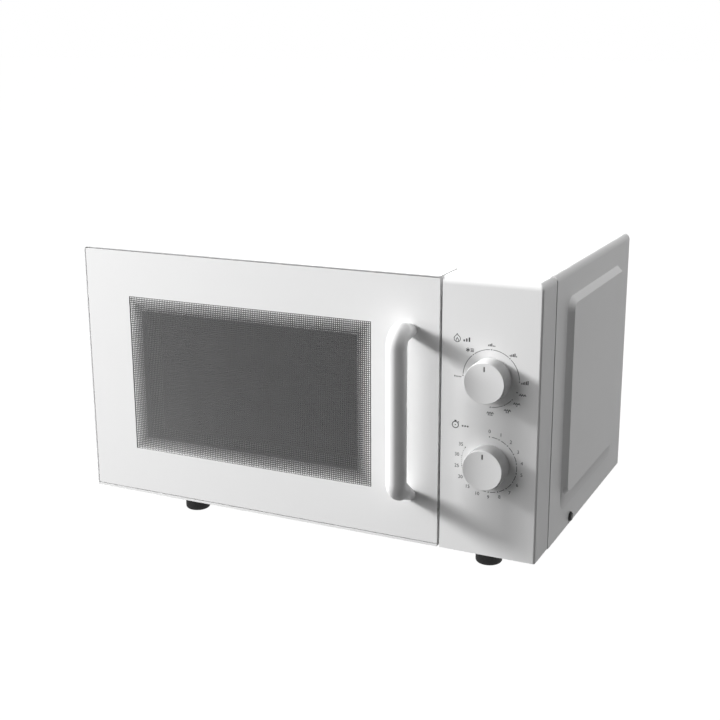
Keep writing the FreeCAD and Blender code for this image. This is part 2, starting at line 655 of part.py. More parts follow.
def make_door_face():
    x = (X_L + DOOR_RIM + FACE_LINE, DOOR_R)
    z = (Z_B + DOOR_FOOT_RIM + FACE_LINE, Z_T - DOOR_RIM - FACE_LINE)
    y = (Y_F, Y_F + FACE_T)
    radius = DOOR_CORNER_R - DOOR_RIM - FACE_LINE
    sheet = rounded(block(x, y, z), radius, AXIS_Y, lambda p: p.z > Z_T - 4 and p.x < 0)
    window = block(WIN_X, grown(y, 1), WIN_Z)
    screws = [rod(sx, y[0] - 1, sz, AXIS_Y, SCREW_R, 6) for sx, sz in handle_screw_places()]
    save("door_front_panel", without(sheet, window, *screws))
    pane = block(grown(WIN_X, -PANE_GAP), (Y_F + PANE_RECESS, Y_F + FACE_T), grown(WIN_Z, -PANE_GAP))
    save("window_pane", pane)


def make_door_screen():
    x = (X_L + HINGE_STRIP + 2, DOOR_R - 34)
    z = grown((Z_B, Z_T), -7.0)
    y = (Y_F + SCREEN_DEPTH, Y_F + 27.5)
    pan = block(x, y, z)
    hollow = block(grown(x, -SHEET), (y[0] + SHEET, y[1] + 1), grown(z, -SHEET))
    save("door_screen", without(pan, hollow))


def choke_window():
    return grown(WIN_X, -CHOKE_LIP), grown(WIN_Z, -CHOKE_LIP)


def make_choke_cover():
    x = (X_L + HINGE_STRIP + 0.3, DOOR_R - DOOR_WALL - 0.3)
    z = grown((Z_B, Z_T), -DOOR_WALL - 0.3)
    back = Y_F + DOOR_T
    hole_x, hole_z = choke_window()
    skin = frame_ring(x, (back - 2.2, back), z, hole_x, hole_z)
    lip = frame_ring(grown(hole_x, 2.0), (back - 7, back), grown(hole_z, 2.0), hole_x, hole_z)
    cover = joined(skin, lip)
    cuts = hook_blocks(around(LATCH_X, LATCH_T / 2 + GAP), (back - 8, back + 1), GAP, LATCH_TRAVEL)
    save("choke_cover", without(cover, *cuts))
    pane = block(hole_x, (back - 5.0, back - 4.0), hole_z)
    save("inner_window", pane)


def make_handle():
    x = DOOR_R - HANDLE_FROM_EDGE
    bar_y = Y_F - BAR_REACH
    low = Z_B + HANDLE_FOOT + BAR_R
    high = Z_B + HANDLE_TOP - BAR_R
    bend_y = bar_y + HANDLE_BEND_R
    bar = rod(x, bar_y, low + HANDLE_BEND_R, AXIS_Z, BAR_R, high - low - 2 * HANDLE_BEND_R)
    parts = [bar]
    for leg_z, turn, fall in ((high, -1, UPPER_LEG_FALL), (low, 1, LOWER_LEG_FALL)):
        centre = Vector(x, bend_y, leg_z + turn * HANDLE_BEND_R)
        top = Part.Wire(Part.makeCircle(BAR_R, Vector(x, bend_y, leg_z), AXIS_Y))
        root = Part.Wire(Part.makeCircle(LEG_END_R, Vector(x, Y_F, leg_z - fall), AXIS_Y))
        parts.append(Part.Face(top).revolve(centre, AXIS_X, -turn * 90))
        parts.append(Part.makeLoft([top, root], True, True))
    handle = joined(*parts)
    depth = 8.0
    holes = [rod(sx, Y_F - depth - 1, sz, AXIS_Y, SCREW_R, depth + 2) for sx, sz in handle_screw_places()]
    save("door_handle", without(handle, *holes))
    inside = Y_F + FACE_T + DOOR_WALL
    shank = inside - Y_F + depth
    places = handle_screw_places()
    save("handle_screws", *[pan_head(sx, inside, sz, AXIS_Y, 4.2, 2.4, shank) for sx, sz in places])


def make_hinges():
    spans = hinge_arm_spans()
    for name, span, pin_z, tab in (
        ("lower_hinge_bracket", spans[0], (Z_B + 4, spans[0][1]), (spans[0][0], spans[0][0] + 28)),
        ("upper_hinge_bracket", spans[1], (spans[1][0], Z_T - 4), (spans[1][1] - 28, spans[1][1])),
    ):
        tab_y = (Y_C + SHEET, Y_C + SHEET + HINGE_ARM_T)
        arm = block(around(PIN[0], HINGE_ARM_R), (PIN[1], tab_y[1]), span)
        nose = rod(PIN[0], PIN[1], span[0], AXIS_Z, HINGE_ARM_R, HINGE_ARM_T)
        pin = rod(PIN[0], PIN[1], pin_z[0], AXIS_Z, HINGE_PIN_R, pin_z[1] - pin_z[0])
        foot = block((PIN[0] - HINGE_ARM_R, min(PIN[0] + HINGE_ARM_R, CAV_X[0] - LINER_FLANGE)), tab_y, tab)
        save(name, joined(arm, nose, pin, foot))


def make_latch():
    y = (Y_F + 12.0, Y_F + 22.0)
    bar = block(around(LATCH_X, LATCH_T / 2), y, (Z_B + 30, Z_B + 200))
    parts = [bar]
    for height in HOOK_HEIGHTS:
        z = Z_B + height
        parts.append(block(around(LATCH_X, LATCH_T / 2), (y[0], HOOK_END), around(z, HOOK_HALF_H)))
        drop = HOOK_HALF_H + HOOK_BEAK
        tip = Vector(LATCH_X - LATCH_T / 2, HOOK_END, z)
        outline = [(0, 0), (-8, 0), (-8, -drop), (-5, -drop), (0, 0)]
        beak = Part.makePolygon([tip + Vector(0, dy, dz) for dy, dz in outline])
        parts.append(Part.Face(beak).extrude(AXIS_X * LATCH_T))
    save("latch_slider", joined(*parts))
    top = Z_B + 30
    foot = Z_B + DOOR_WALL
    coils = 9
    pitch = (top - foot) / (coils + 1)
    helix = Part.makeHelix(pitch, pitch * coils, 3.2)
    section = Part.Wire(Part.makeCircle(0.4, Vector(3.2, 0, 0), AXIS_Y))
    spring = Part.Wire(helix).makePipeShell([section], True, True)
    spring.translate(Vector(LATCH_X, sum(y) / 2, foot + pitch / 2))
    save("latch_spring", spring)


# ---- door switches ----
def make_interlock():
    switch_y = (HOOK_END + 2.3, HOOK_END + 18)
    low, high = (Z_B + h for h in HOOK_HEIGHTS)
    places = (("lower_plunger", low - 3.7, (low - 28, low - 0.2)),
              ("monitor_plunger", low + 3.7, (low + 0.2, low + 28)),
              ("upper_plunger", high + 3.7, (high + 0.2, high + 28)))
    switches = []
    for name, pz, span in places:
        body = block(around(LATCH_X, 3.2), switch_y, span)
        bore = rod(LATCH_X, switch_y[0] - 1, pz, AXIS_Y, 1.6 + RUN_FIT, 9)
        switches.append(without(body, bore))
        save(name, rod(LATCH_X, HOOK_END + FIT_GAP, pz, AXIS_Y, 1.6, 7))
    save("interlock_switches", *switches)
    x = (LATCH_X - 9.0, LATCH_X + 8.0)
    z = (low - 32, high + 32)
    back = block(x, (switch_y[1], switch_y[1] + 1.5), z)
    side = block((x[0], x[0] + 1.5), (Y_C + SHEET, switch_y[1] + 1.5), z)
    save("interlock_bracket", joined(back, side))


# ---- power train of the oven ----
def make_magnetron():
    mid_x = antenna_x()
    top = wave_port()[1][0] - DUCT_SKIN
    foot = top - YOKE_H
    outer = block(around(mid_x, YOKE_W / 2), around(MAGNETRON_Y, YOKE_D / 2), (foot, top))
    hollow_x = around(mid_x, YOKE_W / 2 - YOKE_SKIN)
    hollow = block(hollow_x, around(MAGNETRON_Y, YOKE_D / 2 + 1), (foot + YOKE_SKIN, top - YOKE_SKIN))
    neck = rod(mid_x, MAGNETRON_Y, top - 3, AXIS_Z, AERIAL_R + 1.5, 6)
    save("magnetron_yoke", without(outer, hollow, neck))
    anode = rod(mid_x, MAGNETRON_Y, foot + YOKE_SKIN, AXIS_Z, ANODE_R, YOKE_H - 2 * YOKE_SKIN)
    aerial = rod(mid_x, MAGNETRON_Y, top - YOKE_SKIN, AXIS_Z, AERIAL_R, AERIAL_L)
    aerial = aerial.makeFillet(4.0, [e for e in aerial.Edges if e.Closed and e.CenterOfMass.z > top])
    save("magnetron_core", joined(anode, aerial))
    fins = []
    for fz in spread(top - 50, top - 18, 6):
        fin = block(around(mid_x, YOKE_W / 2 - 5), around(MAGNETRON_Y, YOKE_D / 2 - 4), around(fz, 0.4))
        fins.append(without(fin, rod(mid_x, MAGNETRON_Y, fz - 2, AXIS_Z, ANODE_R, 4)))
    save("magnetron_fins", *fins)
    half_x = YOKE_W / 2 - 7
    half_y = YOKE_D / 2 - 2
    box = block(around(mid_x, half_x), around(MAGNETRON_Y, half_y), (foot - FILTER_BOX_H, foot))
    room_z = (foot - FILTER_BOX_H + 1, foot - 1)
    room = block(around(mid_x, half_x - 1), around(MAGNETRON_Y, half_y - 1), room_z)
    save("magnetron_filter_box", without(box, room))


def make_transformer():
    y = (Y_C + CORE_FRONT, Y_C + CORE_FRONT + CORE_D)
    z = (Z_B + SHEET, Z_B + SHEET + CORE_H)
    mid_z = sum(z) / 2
    core = block(around(BAY_X, CORE_W / 2), y, z)
    opening = (9.0, 24.0)
    sides = (BAY_X - 21.0, BAY_X + 21.0)
    cuts = [block(around(side, opening[0]), grown(y, 1), around(mid_z, opening[1])) for side in sides]
    save("transformer_core", without(core, *cuts))
    coils = []
    leg = 12.0
    for cz in (mid_z + COIL_H * 0.58, mid_z - COIL_H * 0.58):
        span = around(cz, COIL_H / 2)
        outer = rounded(block(around(BAY_X, 29.4), grown(y, COIL_BULGE), span), 6.0, AXIS_Z)
        inner = block(around(BAY_X, leg + 0.6), grown(y, 0.6), grown(span, 1))
        coils.append(without(outer, inner))
    save("transformer_windings", *coils)


def make_capacitor():
    front = Y_C + CORE_FRONT + CORE_D + COIL_BULGE + 3.0
    y = (front, front + CAPACITOR_D)
    z = (Z_B + SHEET, Z_B + SHEET + CAPACITOR_H)
    can = rounded(block((BAY_X - 44, BAY_X + 40), y, z), CAPACITOR_D / 2 - 1, AXIS_X)
    tab_x = (BAY_X + 39, BAY_X + 48)
    tab_ys = (sum(y) / 2 - 7, sum(y) / 2 + 7)
    tabs = [block(tab_x, around(ty, 0.4), around(sum(z) / 2, 3)) for ty in tab_ys]
    save("capacitor", joined(can, *tabs))
    reach = 8.0
    height = Z_B + 60
    front = Y_C + CORE_FRONT
    diode = rod(BAY_L + reach, front, height, AXIS_Y, 3.2, 30)
    lug = block((BAY_L, BAY_L + reach), (front + 12, front + 18), around(height, 1.0))
    save("high_voltage_diode", joined(diode, lug))


def make_fan():
    centre_z = Z_B + FAN_HEIGHT
    sleeve_y = Y_R - FAN_BACK
    plate_x = (BAY_L + 2, X_R - SHEET - 2)
    plate_y = (Y_R - 14, Y_R - 12)
    plate = block(plate_x, plate_y, around(centre_z, FAN_OPEN_R + 7))
    sleeve = rod(BAY_X, sleeve_y, centre_z, AXIS_Y, FAN_OPEN_R + 2, plate_y[1] - sleeve_y)
    hole = rod(BAY_X, sleeve_y - 1, centre_z, AXIS_Y, FAN_OPEN_R, FAN_BACK)
    strut_y = (sleeve_y, sleeve_y + 3)
    strut_z = around(centre_z, FAN_OPEN_R + 1)
    struts = [block(around(BAY_X + dx, 3), strut_y, strut_z) for dx in (-14, 14)]
    save("fan_shroud", joined(without(joined(plate, sleeve), hole), *struts))
    motor = block(around(BAY_X, 22), (FAN_FRONT, sleeve_y), (centre_z - 30, centre_z + 22))
    motor = rounded(motor, 4.0, AXIS_Y)
    shaft_r = 2.0
    bore = rod(BAY_X, sleeve_y - 12, centre_z, AXIS_Y, shaft_r + RUN_FIT, 13)
    save("fan_motor", without(motor, bore))
    hub = rod(BAY_X, sleeve_y + 5, centre_z, AXIS_Y, 12.0, 12)
    spindle = rod(BAY_X, sleeve_y - 11, centre_z, AXIS_Y, shaft_r, 20)
    middle = Vector(BAY_X, sleeve_y + 11.5, centre_z)
    blades = []
    for k in range(5):
        blade = block(around(BAY_X, 1.0), around(middle.y, 5.5), (centre_z + 9, centre_z + FAN_OPEN_R - 3))
        blade = rounded(blade, 3.0, AXIS_X)
        blade.rotate(middle, AXIS_Z, FAN_TURN)
        blade.rotate(middle, AXIS_Y, 72 * k)
        blades.append(blade)
    save("fan_blade", joined(hub, spindle, *blades))


def make_electrics():
    low = Z_B + 8
    top = low + 1.6
    mid_x = KNOB_X - 17
    mid_y = Y_C + 27
    board = block(around(mid_x, 40), around(mid_y, 22), (low, top))
    coil = rod(mid_x - 18, mid_y, top, AXIS_Z, 9.0, 18)
    fuse_x = mid_x + 4
    fuse_y = mid_y - 12
    fuse = rod(fuse_x, fuse_y, top + 4.4, AXIS_X, 3.2, 26)
    seats = [block(around(fuse_x + dx, 2.0), around(fuse_y, 4.2), (top, top + 4.4)) for dx in (4, 22)]
    corners = [(mid_x + dx, mid_y + dy) for dx in (-34, 34) for dy in (-16, 16)]
    posts = [rod(px, py, Z_B + SHEET, AXIS_Z, 2.5, 8 - SHEET) for px, py in corners]
    save("filter_board", joined(board, coil, fuse, *seats, *posts))
    cutout_r = 8.0
    cutout_t = 7.0
    over = rod(TRAY_X + 40, TRAY_Y, CAV_Z[1] + SHEET, AXIS_Z, cutout_r, cutout_t)
    duct_top = wave_port()[1][1] + DUCT_SKIN
    side = rod(BAY_L + 48, MAGNETRON_Y, duct_top, AXIS_Z, cutout_r, cutout_t)
    save("thermal_cutouts", over, side)
    lamp_y, lamp_z = lamp_place()
    room_y = around(lamp_y, 15.5)
    room_z = around(lamp_z, 13.0)
    holder = block((BAY_L, BAY_L + 4), grown(room_y, 1), grown(room_z, 1))
    recess = block((BAY_L - 1, BAY_L + 2), room_y, room_z)
    bulb = rod(BAY_L + 4, lamp_y - 6, lamp_z, AXIS_X, 8.0, 14)
    save("cavity_lamp", joined(without(holder, recess), bulb))


# ---- controls ----
def make_control_panel():
    y = (Y_F, Y_F + PANEL_D)
    shell = block((PANEL_L, X_R), y, (Z_B, Z_T))
    shell = rounded(shell, PANEL_EDGE_R, AXIS_Z, lambda p: p.x > X_R - 1 and p.y < Y_F + 1)
    top = straight_edges(shell, AXIS_Y, lambda p: p.x > X_R - 1 and p.z > Z_T - 1)
    top += straight_edges(shell, AXIS_X, lambda p: p.z > Z_T - 1 and p.y < Y_F + 1)
    shell = shell.makeFillet(CASE_EDGE_R, top)
    inner_x = grown((PANEL_L, X_R), -PANEL_WALL)
    inner_z = grown((Z_B, Z_T), -PANEL_WALL)
    inner_r = CASE_EDGE_R - PANEL_WALL
    room = block(inner_x, (Y_F + PANEL_WALL, y[1] + 1), inner_z)
    room = rounded(room, inner_r, AXIS_Y, lambda p: p.x > X_R - 4 and p.z > Z_T - 4)
    tongue_x = grown((PANEL_L, X_R), -TONGUE_INSET)
    tongue_z = grown((Z_B, Z_T), -TONGUE_INSET)
    bore_x = grown(tongue_x, -TONGUE_T)
    bore_z = grown(tongue_z, -TONGUE_T)
    shoulder = frame_ring(inner_x, (y[1] - 4, y[1] - 1), inner_z, bore_x, bore_z)
    shoulder = rounded(shoulder, inner_r, AXIS_Y, lambda p: p.x > inner_x[1] - 1 and p.z > inner_z[1] - 1)
    tongue = frame_ring(tongue_x, (y[1] - 2, Y_C), tongue_z, bore_x, bore_z)
    holes = [rod(KNOB_X, Y_F - 1, Z_B + h, AXIS_Y, BUSH_R, 6) for h in (POWER_KNOB_H, TIMER_KNOB_H)]
    save("control_panel", without(joined(without(shell, room), shoulder, tongue), *holes))


def make_knob(label, height, body_half, body_d):
    """Knob, its shaft and the housing that the shaft turns in."""
    z = Z_B + height
    back = Y_F - KNOB_GAP
    face = back - KNOB_T
    skirt = Part.makeCone(KNOB_R, KNOB_FACE_R, KNOB_T, Vector(KNOB_X, back, z), AXIS_Y * -1)
    front = [e for e in skirt.Edges if e.Closed and e.CenterOfMass.y < face + 0.1]
    skirt = skirt.makeFillet(KNOB_EDGE_R, front)
    hollow = rod(KNOB_X, back - KNOB_T + KNOB_SKIN, z, AXIS_Y, KNOB_FACE_R - KNOB_SKIN, KNOB_T)
    hub = rod(KNOB_X, back - KNOB_T, z, AXIS_Y, SHAFT_R + 3.5, KNOB_T + 1)
    hollow = without(hollow, hub)
    bore = rod(KNOB_X, back - SHAFT_GRIP, z, AXIS_Y, SHAFT_R, SHAFT_GRIP + 2)
    mark = block(around(KNOB_X, MARK_W / 2), (face - 1, face + MARK_DEEP), (z + MARK_FROM, z + MARK_TO))
    save(label + "_knob", without(skirt, hollow, bore, mark))
    shaft_l = SHAFT_GRIP + KNOB_GAP + 16
    save(label + "_shaft", rod(KNOB_X, back - SHAFT_GRIP, z, AXIS_Y, SHAFT_R, shaft_l))
    behind = Y_F + PANEL_WALL
    case = block(around(KNOB_X, body_half), (behind, behind + body_d), around(z, body_half))
    case = rounded(case, 3.0, AXIS_Y)
    bush = rod(KNOB_X, Y_F, z, AXIS_Y, BUSH_R, PANEL_WALL + 1)
    return without(joined(case, bush), rod(KNOB_X, Y_F - 1, z, AXIS_Y, SHAFT_R + RUN_FIT, 19))


def make_controls():
    selector = make_knob("power", POWER_KNOB_H, SELECTOR_HALF, SELECTOR_D)
    rear = Y_F + PANEL_WALL + SELECTOR_D
    places = [(KNOB_X + dx, Z_B + POWER_KNOB_H + dz) for dx in (-12, 0, 12) for dz in (-12, 12)]
    tabs = [block(around(tx, 3.0), (rear - 1, rear + 6), around(tz, 0.4)) for tx, tz in places]
    save("power_selector", joined(selector, *tabs))
    timer = make_knob("timer", TIMER_KNOB_H, TIMER_HALF, TIMER_D)
    back = Y_F + PANEL_WALL + TIMER_D
    bell_x = KNOB_X - 4
    z = Z_B + TIMER_KNOB_H
    post = rod(bell_x, back - 1, z, AXIS_Y, 2.5, 6.0)
    arm_x = KNOB_X + HAMMER_ASIDE
    pivot_z = z - HAMMER_BELOW
    pivot_r = 1.5
    pivot = rod(arm_x, back - 1, pivot_z, AXIS_Y, pivot_r, 7)
    save("timer_body", joined(timer, post, pivot))
    outline = [(0, 0), (14, 0), (14, -3), (15.2, -3), (15.2, 2), (12, 5), (0, 5)]
    save("timer_bell", turned(outline, bell_x, back + 5.0, z, AXIS_Y))
    lever = block(around(arm_x, 1.6), (back + 2, back + 3.5), (pivot_z, z + 6))
    boss = rod(arm_x, back + 1, pivot_z, AXIS_Y, 3.2, 4)
    ball = Part.makeSphere(2.4, Vector(arm_x, back + 2.75, z + 6))
    bore = rod(arm_x, back - 1, pivot_z, AXIS_Y, pivot_r + RUN_FIT, 8)
    save("bell_hammer", without(joined(lever, boss, ball), bore))


os.makedirs("parts", exist_ok=True)

make_outer_cover()
make_case_screws()
make_front_plate()
make_base_plate()
make_feet()
make_rear_panel()
make_cord_gland()
make_rear_spacers()

make_cavity_liner()
make_waveguide()
make_grill_element()

make_turntable_motor()
make_coupler()
make_roller_ring()
make_glass_tray()

make_door_frame()
make_door_face()
make_door_screen()
make_choke_cover()
make_handle()
make_hinges()
make_latch()
make_interlock()

make_magnetron()
make_transformer()
make_capacitor()
make_fan()
make_electrics()

make_control_panel()
make_controls()
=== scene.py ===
import bpy
import bmesh
import json
import math
from mathutils import Matrix, Vector


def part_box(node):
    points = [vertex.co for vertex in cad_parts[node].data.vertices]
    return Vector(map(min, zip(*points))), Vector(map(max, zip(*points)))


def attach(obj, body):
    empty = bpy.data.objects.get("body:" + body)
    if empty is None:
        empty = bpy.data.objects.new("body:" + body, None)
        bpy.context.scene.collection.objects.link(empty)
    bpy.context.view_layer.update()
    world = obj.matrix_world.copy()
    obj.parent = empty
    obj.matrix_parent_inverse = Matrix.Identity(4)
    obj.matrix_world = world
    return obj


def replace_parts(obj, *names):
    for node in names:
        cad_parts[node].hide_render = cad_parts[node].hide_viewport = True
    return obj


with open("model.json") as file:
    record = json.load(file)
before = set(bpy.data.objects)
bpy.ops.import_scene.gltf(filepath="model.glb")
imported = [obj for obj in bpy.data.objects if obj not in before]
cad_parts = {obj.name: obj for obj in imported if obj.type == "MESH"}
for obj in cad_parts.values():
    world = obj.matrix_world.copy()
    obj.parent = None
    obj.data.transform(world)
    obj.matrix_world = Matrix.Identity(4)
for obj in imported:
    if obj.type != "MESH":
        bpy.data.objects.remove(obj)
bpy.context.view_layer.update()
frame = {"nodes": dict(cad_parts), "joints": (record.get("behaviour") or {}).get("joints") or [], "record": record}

MM = 0.001

# ---- places taken from the frame ----
JOINTS = {joint["name"]: joint for joint in frame["joints"]}
DOOR_LOW, DOOR_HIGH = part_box("door_front_panel")
PANEL_LOW, PANEL_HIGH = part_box("control_panel")
PANE_LOW, PANE_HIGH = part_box("window_pane")
SCREEN_LOW, SCREEN_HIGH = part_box("door_screen")
INNER_LOW, INNER_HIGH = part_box("inner_window")
COVER_LOW, COVER_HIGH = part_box("outer_cover")
KNOB_LOW, KNOB_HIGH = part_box("power_knob")
POWER_AXIS = Vector(JOINTS["power_knob_turn"]["pos_m"])
TIMER_AXIS = Vector(JOINTS["timer_knob_turn"]["pos_m"])

# ---- camera ----
CAMERA_AT = Vector((0.4915, DOOR_LOW.y - 0.89195, 0.44465))
CAMERA_YAW = 0.4486
CAMERA_PITCH = 0.2607
CAMERA_ROLL = -0.0041
CAMERA_LENS = 60.9

# ---- printed marks ----
INK_T = 0.05 * MM           # how far ink stands off its surface
SCALE_R = 23.9 * MM         # radius of the dial scales
LABEL_R = 28.4 * MM         # radius that the labels stand on
LINE_W = 0.42 * MM
DOT_R = 0.5 * MM
MARK_FROM_RIGHT = 88.6 * MM
MARK_FROM_REAR = 10.5 * MM
MARK_R = 8.0 * MM

# ---- window ----
HOLE_PITCH = 1.8 * MM
HOLE_SIDE = 1.12 * MM
SCREEN_T = 0.5 * MM
PRINT_RING = 12.6 * MM      # width of the fading white dots around the window
PRINT_SIDE = 1.1 * MM       # side of the outermost dots
PRINT_LEAST = 0.34 * MM


# ---- shader helpers ----
class Shade:
    """A node material that is built up in steps; textures use the piece's own coordinates."""

    def __init__(self, name, colour, rough, metal=0.0):
        self.material = bpy.data.materials.new(name)
        self.material.use_nodes = True
        self.tree = self.material.node_tree
        self.surface = self.tree.nodes["Principled BSDF"]
        self.surface.inputs["Base Color"].default_value = (*colour, 1.0)
        self.surface.inputs["Roughness"].default_value = rough
        self.surface.inputs["Metallic"].default_value = metal
        self.where = self.add("ShaderNodeTexCoord").outputs["Object"]

    def add(self, kind, **values):
        node = self.tree.nodes.new(kind)
        for key, value in values.items():
            if hasattr(node, key):
                setattr(node, key, value)
            else:
                node.inputs[key.replace("_", " ").title()].default_value = value
        return node

    def join(self, source, node, socket):
        self.tree.links.new(source, node.inputs[socket])
        return node

    def stretched(self, scale):
        """The piece's coordinates, scaled apart along each axis."""
        mapping = self.add("ShaderNodeMapping")
        mapping.inputs["Scale"].default_value = scale
        return self.join(self.where, mapping, "Vector").outputs["Vector"]

    def noise(self, size, detail=3.0, where=None):
        """Noise with features of about the given size in metres."""
        node = self.add("ShaderNodeTexNoise", scale=1.0 / size, detail=detail)
        return self.join(where or self.where, node, "Vector").outputs["Fac"]

    def cells(self, size, output="Color", feature="F1"):
        node = self.add("ShaderNodeTexVoronoi", feature=feature, scale=1.0 / size)
        return self.join(self.where, node, "Vector").outputs[output]

    def bands(self, pitch, axis, shift=0.0):
        """Even ridges across one axis, one each pitch."""
        node = self.add("ShaderNodeTexWave", wave_type="BANDS", bands_direction=axis, wave_profile="SIN")
        node.inputs["Scale"].default_value = math.pi / (10.0 * pitch)
        node.inputs["Distortion"].default_value = shift
        return self.join(self.where, node, "Vector").outputs["Fac"]

    def ranged(self, source, low, high, start=0.3, end=0.7):
        node = self.add("ShaderNodeMapRange")
        node.inputs["From Min"].default_value = start
        node.inputs["From Max"].default_value = end
        node.inputs["To Min"].default_value = low
        node.inputs["To Max"].default_value = high
        return self.join(source, node, "Value").outputs["Result"]

    def ramp(self, source, *stops):
        node = self.add("ShaderNodeValToRGB")
        ramp = node.color_ramp
        for _ in stops[2:]:
            ramp.elements.new(0.5)
        for element, (place, colour) in zip(ramp.elements, stops):
            element.position = place
            element.color = (*colour, 1.0)
        return self.join(source, node, "Fac").outputs["Color"]

    def colour(self, source):
        self.join(source, self.surface, "Base Color")

    def rough(self, source):
        self.join(source, self.surface, "Roughness")

    def bump(self, height, depth):
        """Relief of the given depth in metres; several calls add up."""
        node = self.add("ShaderNodeBump", strength=1.0, distance=depth)
        self.join(height, node, "Height")
        normal = self.surface.inputs["Normal"]
        if normal.is_linked:
            self.tree.links.new(normal.links[0].from_socket, node.inputs["Normal"])
        self.tree.links.new(node.outputs["Normal"], normal)


def tint(colour, factor):
    return tuple(min(channel * factor, 1.0) for channel in colour)


def coated(name, colour, rough, grain=1.1 * MM, depth=0.006 * MM, drift=0.03, metal=0.0):
    """Paint, enamel or moulded plastic: a fine skin texture with faint unevenness of colour and gloss."""
    shade = Shade(name, colour, rough, metal)
    broad = shade.noise(60 * MM, 2.0)
    shade.colour(shade.ramp(broad, (0.3, tint(colour, 1.0 - drift)), (0.7, tint(colour, 1.0 + drift / 2))))
    shade.rough(shade.ranged(shade.noise(30 * MM, 2.0), rough - 0.01, rough + 0.02))
    shade.bump(shade.noise(grain, 2.0), depth)
    return shade


# ---- materials ----
def powder_coat():
    """Satin white powder coat of the cover, with its slight orange peel."""
    return coated("powder_coat", (0.86, 0.86, 0.86), 0.42, 1.3 * MM, 0.006 * MM, 0.004).material


def gloss_white(name, colour=(0.86, 0.86, 0.86), rough=0.42):
    """Moulded white plastic with a clear, slightly wavy shine."""
    shade = coated(name, colour, rough, 5.0 * MM, 0.003 * MM, 0.004)
    shade.surface.inputs["Specular IOR Level"].default_value = 0.3
    return shade.material


def zinc_sheet():
    """Hot dip zinc: flat crystals that differ in brightness and gloss, with fine rolling lines."""
    shade = Shade("zinc_sheet", (0.6, 0.61, 0.62), 0.36, 0.9)
    crystal = shade.cells(7 * MM)
    grey = shade.add("ShaderNodeRGBToBW")
    shade.join(crystal, grey, "Color")
    value = grey.outputs["Val"]
    shade.colour(shade.ramp(value, (0.1, (0.48, 0.49, 0.50)), (0.9, (0.66, 0.67, 0.68))))
    shade.rough(shade.ranged(value, 0.28, 0.46, 0.1, 0.9))
    shade.bump(shade.noise(0.3 * MM, 2.0, shade.stretched((1.0, 0.05, 1.0))), 0.004 * MM)
    return shade.material


def pressed_steel(name, colour, rough=0.4):
    """Cold rolled or plated steel with drawing lines."""
    shade = Shade(name, colour, rough, 0.9)
    lines = shade.noise(0.5 * MM, 4.0, shade.stretched((0.06, 1.0, 1.0)))
    shade.colour(shade.ramp(lines, (0.3, tint(colour, 0.85)), (0.7, tint(colour, 1.1))))
    shade.rough(shade.ranged(shade.noise(9 * MM), rough - 0.08, rough + 0.1))
    shade.bump(lines, 0.004 * MM)
    return shade.material


def enamel():
    """Pale grey baked enamel of the cavity, with its fine speckle."""
    base = (0.62, 0.62, 0.6)
    shade = coated("cavity_enamel", base, 0.33, 1.5 * MM, 0.01 * MM, 0.04)
    speck = shade.cells(1.7 * MM, "Distance")
    shade.colour(shade.ramp(speck, (0.08, tint(base, 0.62)), (0.2, base)))
    return shade.material


def plain_plastic(name, colour, rough, grain):
    shade = coated(name, colour, rough, grain, 0.02 * MM, 0.12)
    shade.bump(shade.noise(grain * 6, 2.0), 0.02 * MM)
    return shade.material


def rubber():
    """Moulded black rubber, dull, with dust in its pores."""
    shade = coated("foot_rubber", (0.012, 0.012, 0.012), 0.72, 0.35 * MM, 0.03 * MM, 0.3)
    dust = shade.noise(3 * MM, 6.0)
    shade.colour(shade.ramp(dust, (0.45, (0.010, 0.010, 0.010)), (0.8, (0.035, 0.034, 0.033))))
    return shade.material


def screen_paint():
    """Dark matt paint over the perforated sheet."""
    shade = coated("screen_paint", (0.15, 0.15, 0.155), 0.5, 0.5 * MM, 0.006 * MM, 0.1)
    return shade.material


def clear_pane(name, tone, gloss, wave):
    """Clear sheet: what lies behind shows through, and the surface mirrors the room at a slant."""
    shade = Shade(name, tone, gloss)
    shade.tree.nodes.remove(shade.surface)
    through = shade.add("ShaderNodeBsdfTransparent")
    through.inputs["Color"].default_value = (*tone, 1.0)
    mirror = shade.add("ShaderNodeBsdfGlossy")
    mirror.inputs["Roughness"].default_value = gloss
    slant = shade.add("ShaderNodeFresnel")
    slant.inputs["IOR"].default_value = 1.46
    relief = shade.add("ShaderNodeBump", strength=1.0, distance=wave)
    shade.join(shade.noise(30 * MM, 1.0), relief, "Height")
    shade.join(relief.outputs["Normal"], mirror, "Normal")
    shade.join(relief.outputs["Normal"], slant, "Normal")
    blend = shade.add("ShaderNodeMixShader")
    shade.join(slant.outputs["Fac"], blend, 0)
    shade.join(through.outputs["BSDF"], blend, 1)
    shade.join(mirror.outputs["BSDF"], blend, 2)
    shade.join(blend.outputs["Shader"], shade.tree.nodes["Material Output"], "Surface")
    return shade.material


